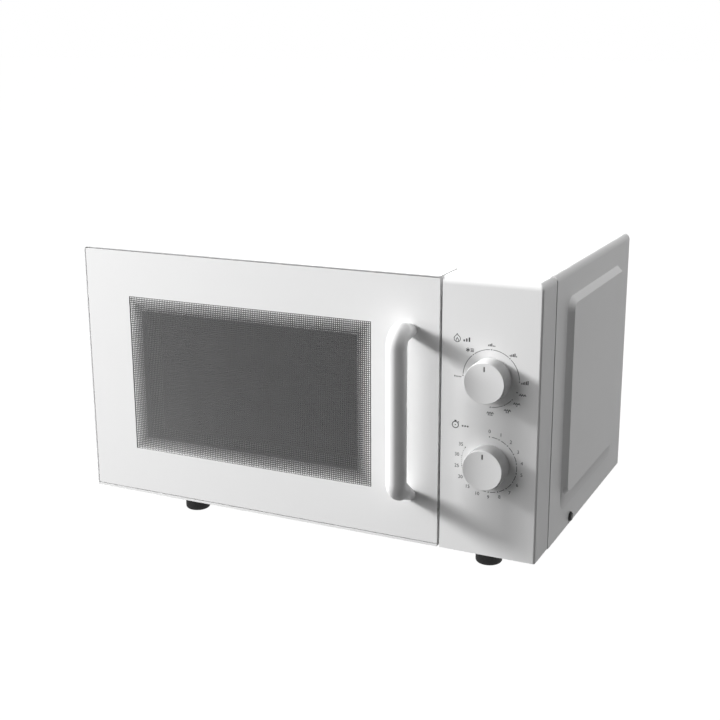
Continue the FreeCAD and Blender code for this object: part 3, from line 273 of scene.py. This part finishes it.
def tray_glass():
    """Pressed glass, faintly green where the eye looks along it."""
    shade = Shade("tray_glass", (0.9, 0.95, 0.93), 0.04)
    shade.tree.nodes.remove(shade.surface)
    edge = shade.add("ShaderNodeLayerWeight", blend=0.35)
    depth = shade.ramp(edge.outputs["Facing"], (0.2, (0.93, 0.96, 0.95)), (0.9, (0.42, 0.62, 0.56)))
    through = shade.add("ShaderNodeBsdfTransparent")
    shade.join(depth, through, "Color")
    mirror = shade.add("ShaderNodeBsdfGlossy")
    mirror.inputs["Roughness"].default_value = 0.05
    slant = shade.add("ShaderNodeFresnel")
    slant.inputs["IOR"].default_value = 1.5
    relief = shade.add("ShaderNodeBump", strength=1.0, distance=0.05 * MM)
    shade.join(shade.noise(12 * MM, 2.0), relief, "Height")
    shade.join(relief.outputs["Normal"], mirror, "Normal")
    blend = shade.add("ShaderNodeMixShader")
    shade.join(slant.outputs["Fac"], blend, 0)
    shade.join(through.outputs["BSDF"], blend, 1)
    shade.join(mirror.outputs["BSDF"], blend, 2)
    shade.join(blend.outputs["Shader"], shade.tree.nodes["Material Output"], "Surface")
    return shade.material


def mica():
    """Mica sheet: silvery brown flakes pressed together."""
    shade = Shade("mica_sheet", (0.42, 0.35, 0.25), 0.42)
    flakes = shade.cells(3 * MM)
    grey = shade.add("ShaderNodeRGBToBW")
    shade.join(flakes, grey, "Color")
    shade.colour(shade.ramp(grey.outputs["Val"], (0.1, (0.33, 0.27, 0.19)), (0.9, (0.52, 0.45, 0.34))))
    shade.rough(shade.ranged(grey.outputs["Val"], 0.3, 0.55, 0.1, 0.9))
    shade.bump(shade.noise(1.2 * MM, 4.0), 0.03 * MM)
    return shade.material


def laminated():
    """Stacked iron sheets with varnish and a few rust stains."""
    shade = Shade("laminated_iron", (0.2, 0.2, 0.21), 0.5, 0.6)
    stain = shade.noise(12 * MM, 6.0)
    shade.colour(shade.ramp(stain, (0.35, (0.17, 0.17, 0.18)), (0.62, (0.27, 0.26, 0.26)),
                            (0.8, (0.25, 0.16, 0.1))))
    shade.bump(shade.bands(0.9 * MM, "Y"), 0.12 * MM)
    shade.rough(shade.ranged(stain, 0.4, 0.62))
    return shade.material


def copper_winding():
    """Close windings of enamelled copper wire; the colour is painted darker in the grooves between the wires, as
    shade.
    """
    shade = Shade("copper_winding", (0.45, 0.16, 0.06), 0.3, 0.7)
    wire_ridges_and_groove_shade = shade.bands(0.9 * MM, "Z", 0.4)
    # Painted shade: the colour goes dark in the grooves between the wires and light on their tops, following the
    # relief.
    shade.colour(shade.ramp(wire_ridges_and_groove_shade, (0.1, (0.2, 0.06, 0.02)), (0.6, (0.5, 0.19, 0.07))))
    shade.bump(wire_ridges_and_groove_shade, 0.3 * MM)
    shade.rough(shade.ranged(shade.noise(6 * MM), 0.24, 0.4))
    return shade.material


def bare_aluminium():
    shade = Shade("bare_aluminium", (0.72, 0.73, 0.74), 0.34, 1.0)
    lines = shade.noise(0.4 * MM, 4.0, shade.stretched((1.0, 0.05, 1.0)))
    shade.rough(shade.ranged(lines, 0.26, 0.46))
    shade.colour(shade.ramp(lines, (0.3, (0.62, 0.63, 0.64)), (0.7, (0.76, 0.77, 0.78))))
    shade.bump(lines, 0.003 * MM)
    return shade.material


def heater_tube():
    """Steel heater sheath, stained by its own heat."""
    shade = Shade("heater_tube", (0.28, 0.27, 0.26), 0.42, 0.9)
    stain = shade.noise(40 * MM, 4.0)
    stops = ((0.3, (0.30, 0.30, 0.31)), (0.5, (0.30, 0.24, 0.17)), (0.7, (0.20, 0.20, 0.26)))
    shade.colour(shade.ramp(stain, *stops))
    shade.rough(shade.ranged(shade.noise(3 * MM), 0.34, 0.55))
    shade.bump(shade.noise(0.5 * MM, 3.0), 0.01 * MM)
    return shade.material


def circuit_board():
    """Paper board with its lacquer and printed tracks."""
    shade = Shade("circuit_board", (0.42, 0.28, 0.12), 0.45)
    tracks = shade.cells(7 * MM, "Distance", "DISTANCE_TO_EDGE")
    shade.colour(shade.ramp(tracks, (0.05, (0.16, 0.13, 0.05)), (0.12, (0.45, 0.3, 0.13))))
    shade.bump(tracks, 0.05 * MM)
    shade.rough(shade.ranged(shade.noise(2 * MM), 0.35, 0.55))
    return shade.material


def ink(name, colour):
    """Screen printing ink: dull, with the faint grain of the mesh it was pressed through."""
    return coated(name, colour, 0.6, 0.12 * MM, 0.004 * MM, 0.1).material


SLOT_LOOKS = {
    "white_paint": powder_coat(),
    "steel_sheet": zinc_sheet(),
    "cavity_enamel": enamel(),
    "white_plastic": gloss_white("white_plastic"),
    "grey_plastic": plain_plastic("grey_plastic", (0.36, 0.37, 0.38), 0.48, 0.6 * MM),
    "black_plastic": plain_plastic("black_plastic", (0.025, 0.025, 0.026), 0.5, 0.5 * MM),
    "rubber": rubber(),
    "dark_screen": screen_paint(),
    "window_clear": clear_pane("clear_pane", (0.92, 0.92, 0.92), 0.03, 0.02 * MM),
    "tray_glass": tray_glass(),
    "mica": mica(),
    "black_screw": pressed_steel("black_screw", (0.03, 0.03, 0.03), 0.42),
    "zinc_screw": pressed_steel("zinc_plate", (0.66, 0.66, 0.67), 0.3),
    "core_iron": laminated(),
    "winding": copper_winding(),
    "aluminium_part": bare_aluminium(),
    "heater": heater_tube(),
    "motor": pressed_steel("motor_case", (0.42, 0.42, 0.43), 0.4),
    "board": circuit_board(),
    "lamp_glass": plain_plastic("lamp_socket", (0.7, 0.68, 0.6), 0.35, 0.8 * MM),
}
NODE_LOOKS = {
    # Front plate: grey enamel, kept darker than the white parts so that the seams around the control panel read as
    # shadow, which is painted shade.
    "front_plate": gloss_white("front_plate_enamel_seam_shade", (0.5, 0.5, 0.5), 0.36),
    "inner_window": clear_pane("tinted_pane", (0.6, 0.6, 0.6), 0.05, 0.02 * MM),
    "choke_cover": plain_plastic("choke_plastic", (0.74, 0.74, 0.73), 0.45, 0.8 * MM),
    "door_front_panel": gloss_white("door_sheet", (0.86, 0.86, 0.86), 0.46),
    "timer_bell": pressed_steel("bell_steel", (0.7, 0.7, 0.71), 0.22),
}
BLACK_INK = ink("black_ink", (0.02, 0.02, 0.021))
GREY_INK = ink("grey_ink", (0.25, 0.25, 0.25))
WHITE_INK = ink("white_ink", (0.88, 0.88, 0.88))


def dress_nodes():
    """Every CAD node takes the look of its slot, or one of its own."""
    slots = {part["node"]: part["material_slot"] for part in frame["record"]["subparts"]}
    for name, node in frame["nodes"].items():
        look = NODE_LOOKS.get(name, SLOT_LOOKS[slots[name]])
        node.data.materials.clear()
        node.data.materials.append(look)


# ---- mesh helpers ----
def piece(name, shape, body, look):
    """Turns a bmesh into a piece that rides on a body."""
    mesh = bpy.data.meshes.new(name)
    shape.to_mesh(mesh)
    shape.free()
    mesh.materials.append(look)
    item = bpy.data.objects.new(name, mesh)
    bpy.context.scene.collection.objects.link(item)
    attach(item, body)
    return item


class Ink:
    """Thin shapes printed on a face that looks towards -Y; places are X and Z in the row frame."""

    def __init__(self, face_y):
        self.shape = bmesh.new()
        self.back = face_y
        self.front = face_y - INK_T

    def fill(self, points):
        """A closed outline, given clockwise or not, as a flat slab."""
        rings = []
        for y in (self.front, self.back):
            rings.append([self.shape.verts.new((x, y, z)) for x, z in points])
        self.shape.faces.new(rings[0])
        self.shape.faces.new(rings[1][::-1])
        for i in range(len(points)):
            j = (i + 1) % len(points)
            self.shape.faces.new((rings[0][j], rings[0][i], rings[1][i], rings[1][j]))

    def disc(self, x, z, radius, sides=14):
        turn = 2 * math.pi / sides
        self.fill([(x + radius * math.sin(i * turn), z + radius * math.cos(i * turn)) for i in range(sides)])

    def bar(self, x, z, width, height, angle=0.0):
        """Rectangle about its middle, turned clockwise by an angle in degrees."""
        a = math.radians(angle)
        corners = ((-0.5, -0.5), (-0.5, 0.5), (0.5, 0.5), (0.5, -0.5))
        points = []
        for u, v in corners:
            u *= width
            v *= height
            points.append((x + u * math.cos(a) + v * math.sin(a), z + v * math.cos(a) - u * math.sin(a)))
        self.fill(points)

    def line(self, points, width, closed=False):
        """A stroke of even width along points, mitred at its bends."""
        count = len(points)
        left = []
        right = []
        for i, here in enumerate(points):
            before = points[i - 1] if closed or i else here
            after = points[(i + 1) % count] if closed or i < count - 1 else here
            ahead = Vector((after[0] - here[0], after[1] - here[1]))
            behind = Vector((here[0] - before[0], here[1] - before[1]))
            ahead = ahead.normalized() if ahead.length else behind.normalized()
            behind = behind.normalized() if behind.length else ahead
            along = (ahead + behind).normalized()
            across = Vector((-along.y, along.x)) * (width / 2 / max(along.dot(ahead), 0.4))
            left.append((here[0] + across.x, here[1] + across.y))
            right.append((here[0] - across.x, here[1] - across.y))
        steps = range(count if closed else count - 1)
        for i in steps:
            j = (i + 1) % count
            self.fill([left[i], left[j], right[j], right[i]])

    def arc(self, centre, radius, start, end, width):
        """Part of a ring; angles are clockwise from the top, in degrees."""
        steps = max(2, int(abs(end - start) / 4))
        angles = [math.radians(start + (end - start) * i / steps) for i in range(steps + 1)]
        x, z = centre
        self.line([(x + radius * math.sin(a), z + radius * math.cos(a)) for a in angles], width)

    def number(self, text, x, z, height):
        """A number in the plain built-in typeface, centred on its place."""
        curve = bpy.data.curves.new("number", "FONT")
        curve.body = text
        curve.size = height / 0.7
        curve.align_x = "CENTER"
        curve.align_y = "CENTER"
        curve.extrude = INK_T / 2
        item = bpy.data.objects.new("number", curve)
        bpy.context.scene.collection.objects.link(item)
        bpy.context.view_layer.update()
        mesh = bpy.data.meshes.new_from_object(item.evaluated_get(bpy.context.evaluated_depsgraph_get()))
        upright = Matrix.Rotation(math.pi / 2, 4, "X")
        mesh.transform(Matrix.Translation((x, (self.front + self.back) / 2, z)) @ upright)
        self.shape.from_mesh(mesh)
        bpy.data.objects.remove(item)
        bpy.data.curves.remove(curve)
        bpy.data.meshes.remove(mesh)

    def finish(self, name, body, look):
        bmesh.ops.recalc_face_normals(self.shape, faces=self.shape.faces)
        return piece(name, self.shape, body, look)


def about(axis, angle, radius):
    """The place at a clockwise angle in degrees about a dial axis."""
    a = math.radians(angle)
    return axis.x + radius * math.sin(a), axis.z + radius * math.cos(a)


# ---- printed dials ----
POWER_STOPS = {"low": -90, "defrost": -40, "medium": 0, "medium_high": 40, "high": 90}
GRILL_STOPS = {"grill": 112, "combi_3": 130, "combi_2": 150, "combi_1": 180}


def level_mark(print_on, x, z, level):
    """Row of five bars, growing up to the given level, as a picture of a power setting."""
    size = 0.8 * MM
    pitch = 1.3 * MM
    for i in range(5):
        tall = (1.2 + 0.55 * i) * MM if i <= level else 0.8 * MM
        print_on.bar(x + (i - 2) * pitch, z - 1.7 * MM + tall / 2, size, tall)


def frost_mark(print_on, x, z):
    """Six-armed flake."""
    for angle in (0, 60, 120):
        print_on.bar(x - 1.8 * MM, z, 0.55 * MM, 3.6 * MM, angle)
    for height in (-1.1 * MM, 0.0, 1.1 * MM):
        print_on.bar(x + 1.9 * MM, z + height, 2.8 * MM, 0.55 * MM)


def zigzag_mark(print_on, x, z, count):
    """Heater wave with a number of dots under it."""
    points = [(x + (i - 3) * 0.95 * MM, z + (0.9 if i % 2 else -0.5) * MM) for i in range(7)]
    print_on.line(points, 0.6 * MM)
    for i in range(count):
        print_on.disc(x + (i - (count - 1) / 2) * 1.5 * MM, z - 1.5 * MM, 0.5 * MM, 10)


def make_power_scale():
    marks = Ink(PANEL_LOW.y)
    centre = (POWER_AXIS.x, POWER_AXIS.z)
    for angle in (*POWER_STOPS.values(), *GRILL_STOPS.values()):
        marks.disc(*about(POWER_AXIS, angle, SCALE_R), DOT_R)
    gap = 3.2
    stops = list(POWER_STOPS.values())
    for start, end in (*zip(stops, stops[1:]), (130, 150), (150, 180)):
        marks.arc(centre, SCALE_R, start + gap, end - gap, LINE_W)
    for level, (name, angle) in enumerate(POWER_STOPS.items()):
        x, z = about(POWER_AXIS, angle, LABEL_R)
        if name == "defrost":
            frost_mark(marks, x, z)
        else:
            level_mark(marks, x, z, level)
    for count, angle in enumerate(GRILL_STOPS.values()):
        x, z = about(POWER_AXIS, angle, LABEL_R + 0.6 * MM)
        zigzag_mark(marks, x, z, count)
    marks.finish("power_scale", "case", BLACK_INK)


MINUTE_ANGLES = {minute: 20 * minute if minute <= 10 else 160 + 4 * minute
                 for minute in (*range(11), 15, 20, 25, 30, 35)}


def make_timer_scale():
    marks = Ink(PANEL_LOW.y)
    centre = (TIMER_AXIS.x, TIMER_AXIS.z)
    for minute, angle in MINUTE_ANGLES.items():
        marks.disc(*about(TIMER_AXIS, angle, SCALE_R), DOT_R if minute <= 10 or minute == 35 else DOT_R * 0.8)
        x, z = about(TIMER_AXIS, angle, LABEL_R)
        marks.number(str(minute), x, z, 2.9 * MM)
    minutes = list(MINUTE_ANGLES.items())
    for (first, start), (last, end) in zip(minutes, minutes[1:]):
        if last <= 10:
            marks.arc(centre, SCALE_R, start + 5.0, end - 3.6, LINE_W * 1.15)
            continue
        for i in range(1, 5):
            angle = start + (end - start) * i / 5
            marks.disc(*about(TIMER_AXIS, angle, SCALE_R), DOT_R * 0.55, 8)
    marks.finish("timer_scale", "case", BLACK_INK)


def ring_points(x, z, radius, count=28):
    turn = 2 * math.pi / count
    return [(x + radius * math.sin(i * turn), z + radius * math.cos(i * turn)) for i in range(count)]


def make_dial_icons():
    """A flame with three bars over the power dial, and a stopwatch with three dots over the timer."""
    marks = Ink(PANEL_LOW.y)
    stroke = 0.5 * MM
    x = PANEL_LOW.x + 13.2 * MM
    z = POWER_AXIS.z + 30.3 * MM
    r = 2.7 * MM
    round_part = [math.radians(40 + 280 * i / 18) for i in range(19)]
    flame = [(x + r * math.sin(a), z - 0.1 * MM + r * math.cos(a)) for a in round_part]
    flame += [(x - 1.0 * MM, z + 2.6 * MM), (x - 0.1 * MM, z + 3.9 * MM), (x + 0.9 * MM, z + 2.5 * MM)]
    marks.line(flame, stroke, closed=True)
    marks.line([(x - 0.9 * MM, z - 2.0 * MM), (x - 0.9 * MM, z - 0.6 * MM), (x + 0.1 * MM, z + 0.6 * MM),
                (x + 1.0 * MM, z - 0.7 * MM), (x + 0.9 * MM, z - 2.0 * MM)], stroke)
    for i, height in enumerate((1.6, 2.6, 3.6)):
        marks.bar(x + (6.0 + 2.2 * i) * MM, z - 1.9 * MM + height / 2 * MM, 1.2 * MM, height * MM)
    x -= 0.4 * MM
    z = TIMER_AXIS.z + 30.4 * MM
    marks.line(ring_points(x, z, r), stroke * 1.3, closed=True)
    marks.bar(x, z + 3.5 * MM, 1.9 * MM, 0.9 * MM)
    marks.disc(x, z, 0.5 * MM, 10)
    marks.bar(x + 2.6 * MM, z + 2.6 * MM, 1.2 * MM, 0.7 * MM, 45)
    for i in range(3):
        marks.disc(x + (6.4 + 2.2 * i) * MM, z - 0.3 * MM, 0.75 * MM, 12)
    marks.finish("dial_icons", "case", BLACK_INK)


def make_top_mark():
    """Small warning triangle printed on the cover, near its rear right corner."""
    shape = bmesh.new()
    middle = Vector((COVER_HIGH.x - MARK_FROM_RIGHT, COVER_HIGH.y - MARK_FROM_REAR))
    corners = [middle + Vector((math.sin(a), math.cos(a))) * MARK_R for a in (0.0, 2.0944, 4.1888)]
    inner = [middle + (corner - middle) * 0.78 for corner in corners]
    for i in range(3):
        j = (i + 1) % 3
        outline = (corners[i], corners[j], inner[j], inner[i])
        low = [shape.verts.new((p.x, p.y, COVER_HIGH.z)) for p in outline]
        high = [shape.verts.new((p.x, p.y, COVER_HIGH.z + INK_T)) for p in outline]
        shape.faces.new(high)
        shape.faces.new(low[::-1])
        for k in range(4):
            m = (k + 1) % 4
            shape.faces.new((low[k], low[m], high[m], high[k]))
    bmesh.ops.recalc_face_normals(shape, faces=shape.faces)
    piece("top_mark", shape, "case", GREY_INK)


def make_pointers():
    """Black filling of the groove in each knob."""
    groove_w = 1.2 * MM
    low = 9.6 * MM
    high = 13.8 * MM
    depth = 0.9 * MM
    for label, axis, body in (("power", POWER_AXIS, "power_dial"), ("timer", TIMER_AXIS, "timer_dial")):
        face_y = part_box(label + "_knob")[0].y
        shape = bmesh.new()
        middle = Vector((axis.x, face_y + 0.12 * MM + depth / 2, axis.z + (low + high) / 2))
        size = Matrix.Diagonal((groove_w * 0.96, depth, (high - low) * 0.98, 1.0))
        bmesh.ops.create_cube(shape, size=1.0, matrix=Matrix.Translation(middle) @ size)
        bmesh.ops.bevel(shape, geom=shape.edges[:], offset=0.12 * MM, segments=2, affect="EDGES")
        piece(label + "_pointer", shape, body, BLACK_INK)


# ---- window ----
def grid_lines(low, high, pitch, hole):
    """Edges of evenly pitched holes that fill a span, with an equal margin at each end."""
    count = int((high - low) / pitch)
    margin = (high - low - count * pitch) / 2
    lines = [low]
    for i in range(count):
        middle = low + margin + (i + 0.5) * pitch
        lines += [middle - hole / 2, middle + hole / 2]
    return lines + [high]


def make_perforated_screen():
    """Sheet pan of the door with its square holes over the inner window."""
    xs = [SCREEN_LOW.x] + grid_lines(INNER_LOW.x, INNER_HIGH.x, HOLE_PITCH, HOLE_SIDE)[1:-1] + [SCREEN_HIGH.x]
    zs = [SCREEN_LOW.z] + grid_lines(INNER_LOW.z, INNER_HIGH.z, HOLE_PITCH, HOLE_SIDE)[1:-1] + [SCREEN_HIGH.z]
    front = SCREEN_LOW.y
    shape = bmesh.new()
    layers = []
    for y in (front, front + SCREEN_T):
        layers.append([[shape.verts.new((x, y, z)) for z in zs] for x in xs])
    for i in range(len(xs) - 1):
        for k in range(len(zs) - 1):
            hole = i % 2 == 1 and k % 2 == 1 and i < len(xs) - 2 and k < len(zs) - 2
            for layer, order in ((layers[0], 1), (layers[1], -1)):
                corners = (layer[i][k], layer[i + 1][k], layer[i + 1][k + 1], layer[i][k + 1])
                if not hole:
                    shape.faces.new(corners[::order])
            if hole:
                a, b = layers
                around = ((i, k), (i, k + 1), (i + 1, k + 1), (i + 1, k))
                for (p, q), (r, s) in zip(around, around[1:] + around[:1]):
                    shape.faces.new((a[p][q], a[r][s], b[r][s], b[p][q]))
    deep = SCREEN_HIGH.y
    wall = 0.8 * MM
    screen = piece("perforated_screen", shape, "door", SLOT_LOOKS["dark_screen"])
    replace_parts(screen, "door_screen")
    rim = bmesh.new()
    loops = []
    for y, inset in ((front + SCREEN_T, 0.0), (deep, 0.0), (deep, wall), (front + SCREEN_T, wall)):
        x = (SCREEN_LOW.x + inset, SCREEN_HIGH.x - inset)
        z = (SCREEN_LOW.z + inset, SCREEN_HIGH.z - inset)
        square = ((x[0], y, z[0]), (x[1], y, z[0]), (x[1], y, z[1]), (x[0], y, z[1]))
        loops.append([rim.verts.new(p) for p in square])
    for first, second in zip(loops, loops[1:] + loops[:1]):
        for i in range(4):
            j = (i + 1) % 4
            rim.faces.new((first[i], first[j], second[j], second[i]))
    bmesh.ops.recalc_face_normals(rim, faces=rim.faces)
    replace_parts(piece("screen_flange", rim, "door", SLOT_LOOKS["dark_screen"]), "door_screen")


def make_window_print():
    """White dots on the pane that shrink from its border inwards."""
    marks = Ink(PANE_LOW.y)
    half = HOLE_PITCH / 2
    columns = int((PANE_HIGH.x - PANE_LOW.x) / HOLE_PITCH)
    rows = int((PANE_HIGH.z - PANE_LOW.z) / HOLE_PITCH)
    start_x = (PANE_LOW.x + PANE_HIGH.x - columns * HOLE_PITCH) / 2 + half
    start_z = (PANE_LOW.z + PANE_HIGH.z - rows * HOLE_PITCH) / 2 + half
    for i in range(columns):
        for k in range(rows):
            inward = min(i, k, columns - 1 - i, rows - 1 - k) * HOLE_PITCH
            side = PRINT_SIDE + (PRINT_LEAST - PRINT_SIDE) * inward / PRINT_RING
            if inward <= PRINT_RING:
                marks.bar(start_x + i * HOLE_PITCH, start_z + k * HOLE_PITCH, side, side)
    marks.finish("window_print", "door", WHITE_INK)


# ---- stage ----
def make_camera():
    sin_yaw, cos_yaw = math.sin(CAMERA_YAW), math.cos(CAMERA_YAW)
    sin_pitch, cos_pitch = math.sin(CAMERA_PITCH), math.cos(CAMERA_PITCH)
    ahead = Vector((-sin_yaw * cos_pitch, cos_yaw * cos_pitch, -sin_pitch))
    right = Vector((cos_yaw, sin_yaw, 0.0))
    up = right.cross(ahead)
    turn = Matrix.Rotation(-CAMERA_ROLL, 3, ahead)
    right = turn @ right
    up = turn @ up
    lens = bpy.data.cameras.new("camera")
    lens.lens = CAMERA_LENS
    lens.sensor_width = 36.0
    lens.clip_start = 0.01
    lens.clip_end = 50.0
    camera = bpy.data.objects.new("camera", lens)
    bpy.context.scene.collection.objects.link(camera)
    camera.matrix_world = Matrix.Translation(CAMERA_AT) @ Matrix((right, up, -ahead)).transposed().to_4x4()
    bpy.context.scene.camera = camera


def soft_light(name, towards, distance, size, power):
    """Area light that faces the oven from the given direction."""
    aim = Vector((0.0, 0.0, (COVER_LOW.z + COVER_HIGH.z) / 2))
    lamp = bpy.data.lights.new(name, "AREA")
    lamp.shape = "DISK"
    lamp.size = size
    lamp.energy = power
    item = bpy.data.objects.new(name, lamp)
    bpy.context.scene.collection.objects.link(item)
    item.location = aim + Vector(towards).normalized() * distance
    item.rotation_euler = (aim - item.location).to_track_quat("-Z", "Y").to_euler()
    return item


def make_world(sight, fill, shine):
    """White surroundings: full strength to the eye, a little less in reflections, and a weak fill light."""
    world = bpy.data.worlds.new("studio")
    world.use_nodes = True
    tree = world.node_tree
    background = tree.nodes["Background"]
    background.inputs["Color"].default_value = (1.0, 1.0, 1.0, 1.0)
    path = tree.nodes.new("ShaderNodeLightPath")
    value = None
    for output, strength in (("Is Camera Ray", sight), ("Is Diffuse Ray", fill)):
        mix = tree.nodes.new("ShaderNodeMix")
        tree.links.new(path.outputs[output], mix.inputs["Factor"])
        mix.inputs["B"].default_value = strength
        if value is None:
            mix.inputs["A"].default_value = shine
        else:
            tree.links.new(value, mix.inputs["A"])
        value = mix.outputs["Result"]
    tree.links.new(value, background.inputs["Strength"])
    bpy.context.scene.world = world


def make_floor():
    """Plain white floor that glows, so that it stays white out to the horizon."""
    shape = bmesh.new()
    bmesh.ops.create_grid(shape, x_segments=1, y_segments=1, size=20.0)
    mesh = bpy.data.meshes.new("floor")
    shape.to_mesh(mesh)
    shape.free()
    floor = bpy.data.objects.new("floor", mesh)
    bpy.context.scene.collection.objects.link(floor)
    shade = Shade("floor_white", (0.04, 0.04, 0.04), 0.9)
    shade.surface.inputs["Emission Color"].default_value = (1.0, 1.0, 1.0, 1.0)
    shade.surface.inputs["Emission Strength"].default_value = 1.0
    shade.surface.inputs["Specular IOR Level"].default_value = 0.0
    shade.rough(shade.ranged(shade.noise(0.4), 0.85, 0.95))
    mesh.materials.append(shade.material)
    floor.visible_diffuse = False


def make_scrim():
    """Half-clear sheet close to the left side that tames the main light there."""
    shape = bmesh.new()
    x = COVER_LOW.x - 0.03
    y = (COVER_LOW.y + 0.012, COVER_HIGH.y + 0.1)
    z = (0.0, COVER_HIGH.z + 0.01)
    square = ((x, y[0], z[0]), (x, y[1], z[0]), (x, y[1], z[1]), (x, y[0], z[1]))
    shape.faces.new([shape.verts.new(p) for p in square])
    mesh = bpy.data.meshes.new("scrim")
    shape.to_mesh(mesh)
    shape.free()
    scrim = bpy.data.objects.new("scrim", mesh)
    bpy.context.scene.collection.objects.link(scrim)
    shade = Shade("scrim_cloth", (1.0, 1.0, 1.0), 0.9)
    shade.tree.nodes.remove(shade.surface)
    through = shade.add("ShaderNodeBsdfTransparent")
    weave = shade.ramp(shade.noise(3 * MM), (0.3, (0.33, 0.33, 0.33)), (0.7, (0.37, 0.37, 0.37)))
    shade.join(weave, through, "Color")
    shade.join(through.outputs["BSDF"], shade.tree.nodes["Material Output"], "Surface")
    mesh.materials.append(shade.material)
    for ray in ("camera", "diffuse", "glossy", "transmission"):
        setattr(scrim, "visible_" + ray, False)


def make_stage():
    make_camera()
    make_world(sight=1.0, fill=0.07, shine=0.6)
    soft_light("key_core", (-0.85, -0.33, 0.42), 3.2, 0.7, 165.0)
    soft_light("key_wings", (-0.62, -0.80, 0.42), 3.2, 2.4, 45.0)
    soft_light("top_light", (0.42, 0.25, 1.0), 2.2, 0.7, 20.0)
    soft_light("back_light", (-0.35, 0.88, 0.32), 2.6, 1.4, 30.0)
    make_floor()
    make_scrim()
    bpy.context.scene.view_settings.view_transform = "Standard"


make_stage()
dress_nodes()
make_perforated_screen()
make_window_print()
make_power_scale()
make_timer_scale()
make_dial_icons()
make_pointers()
make_top_mark()
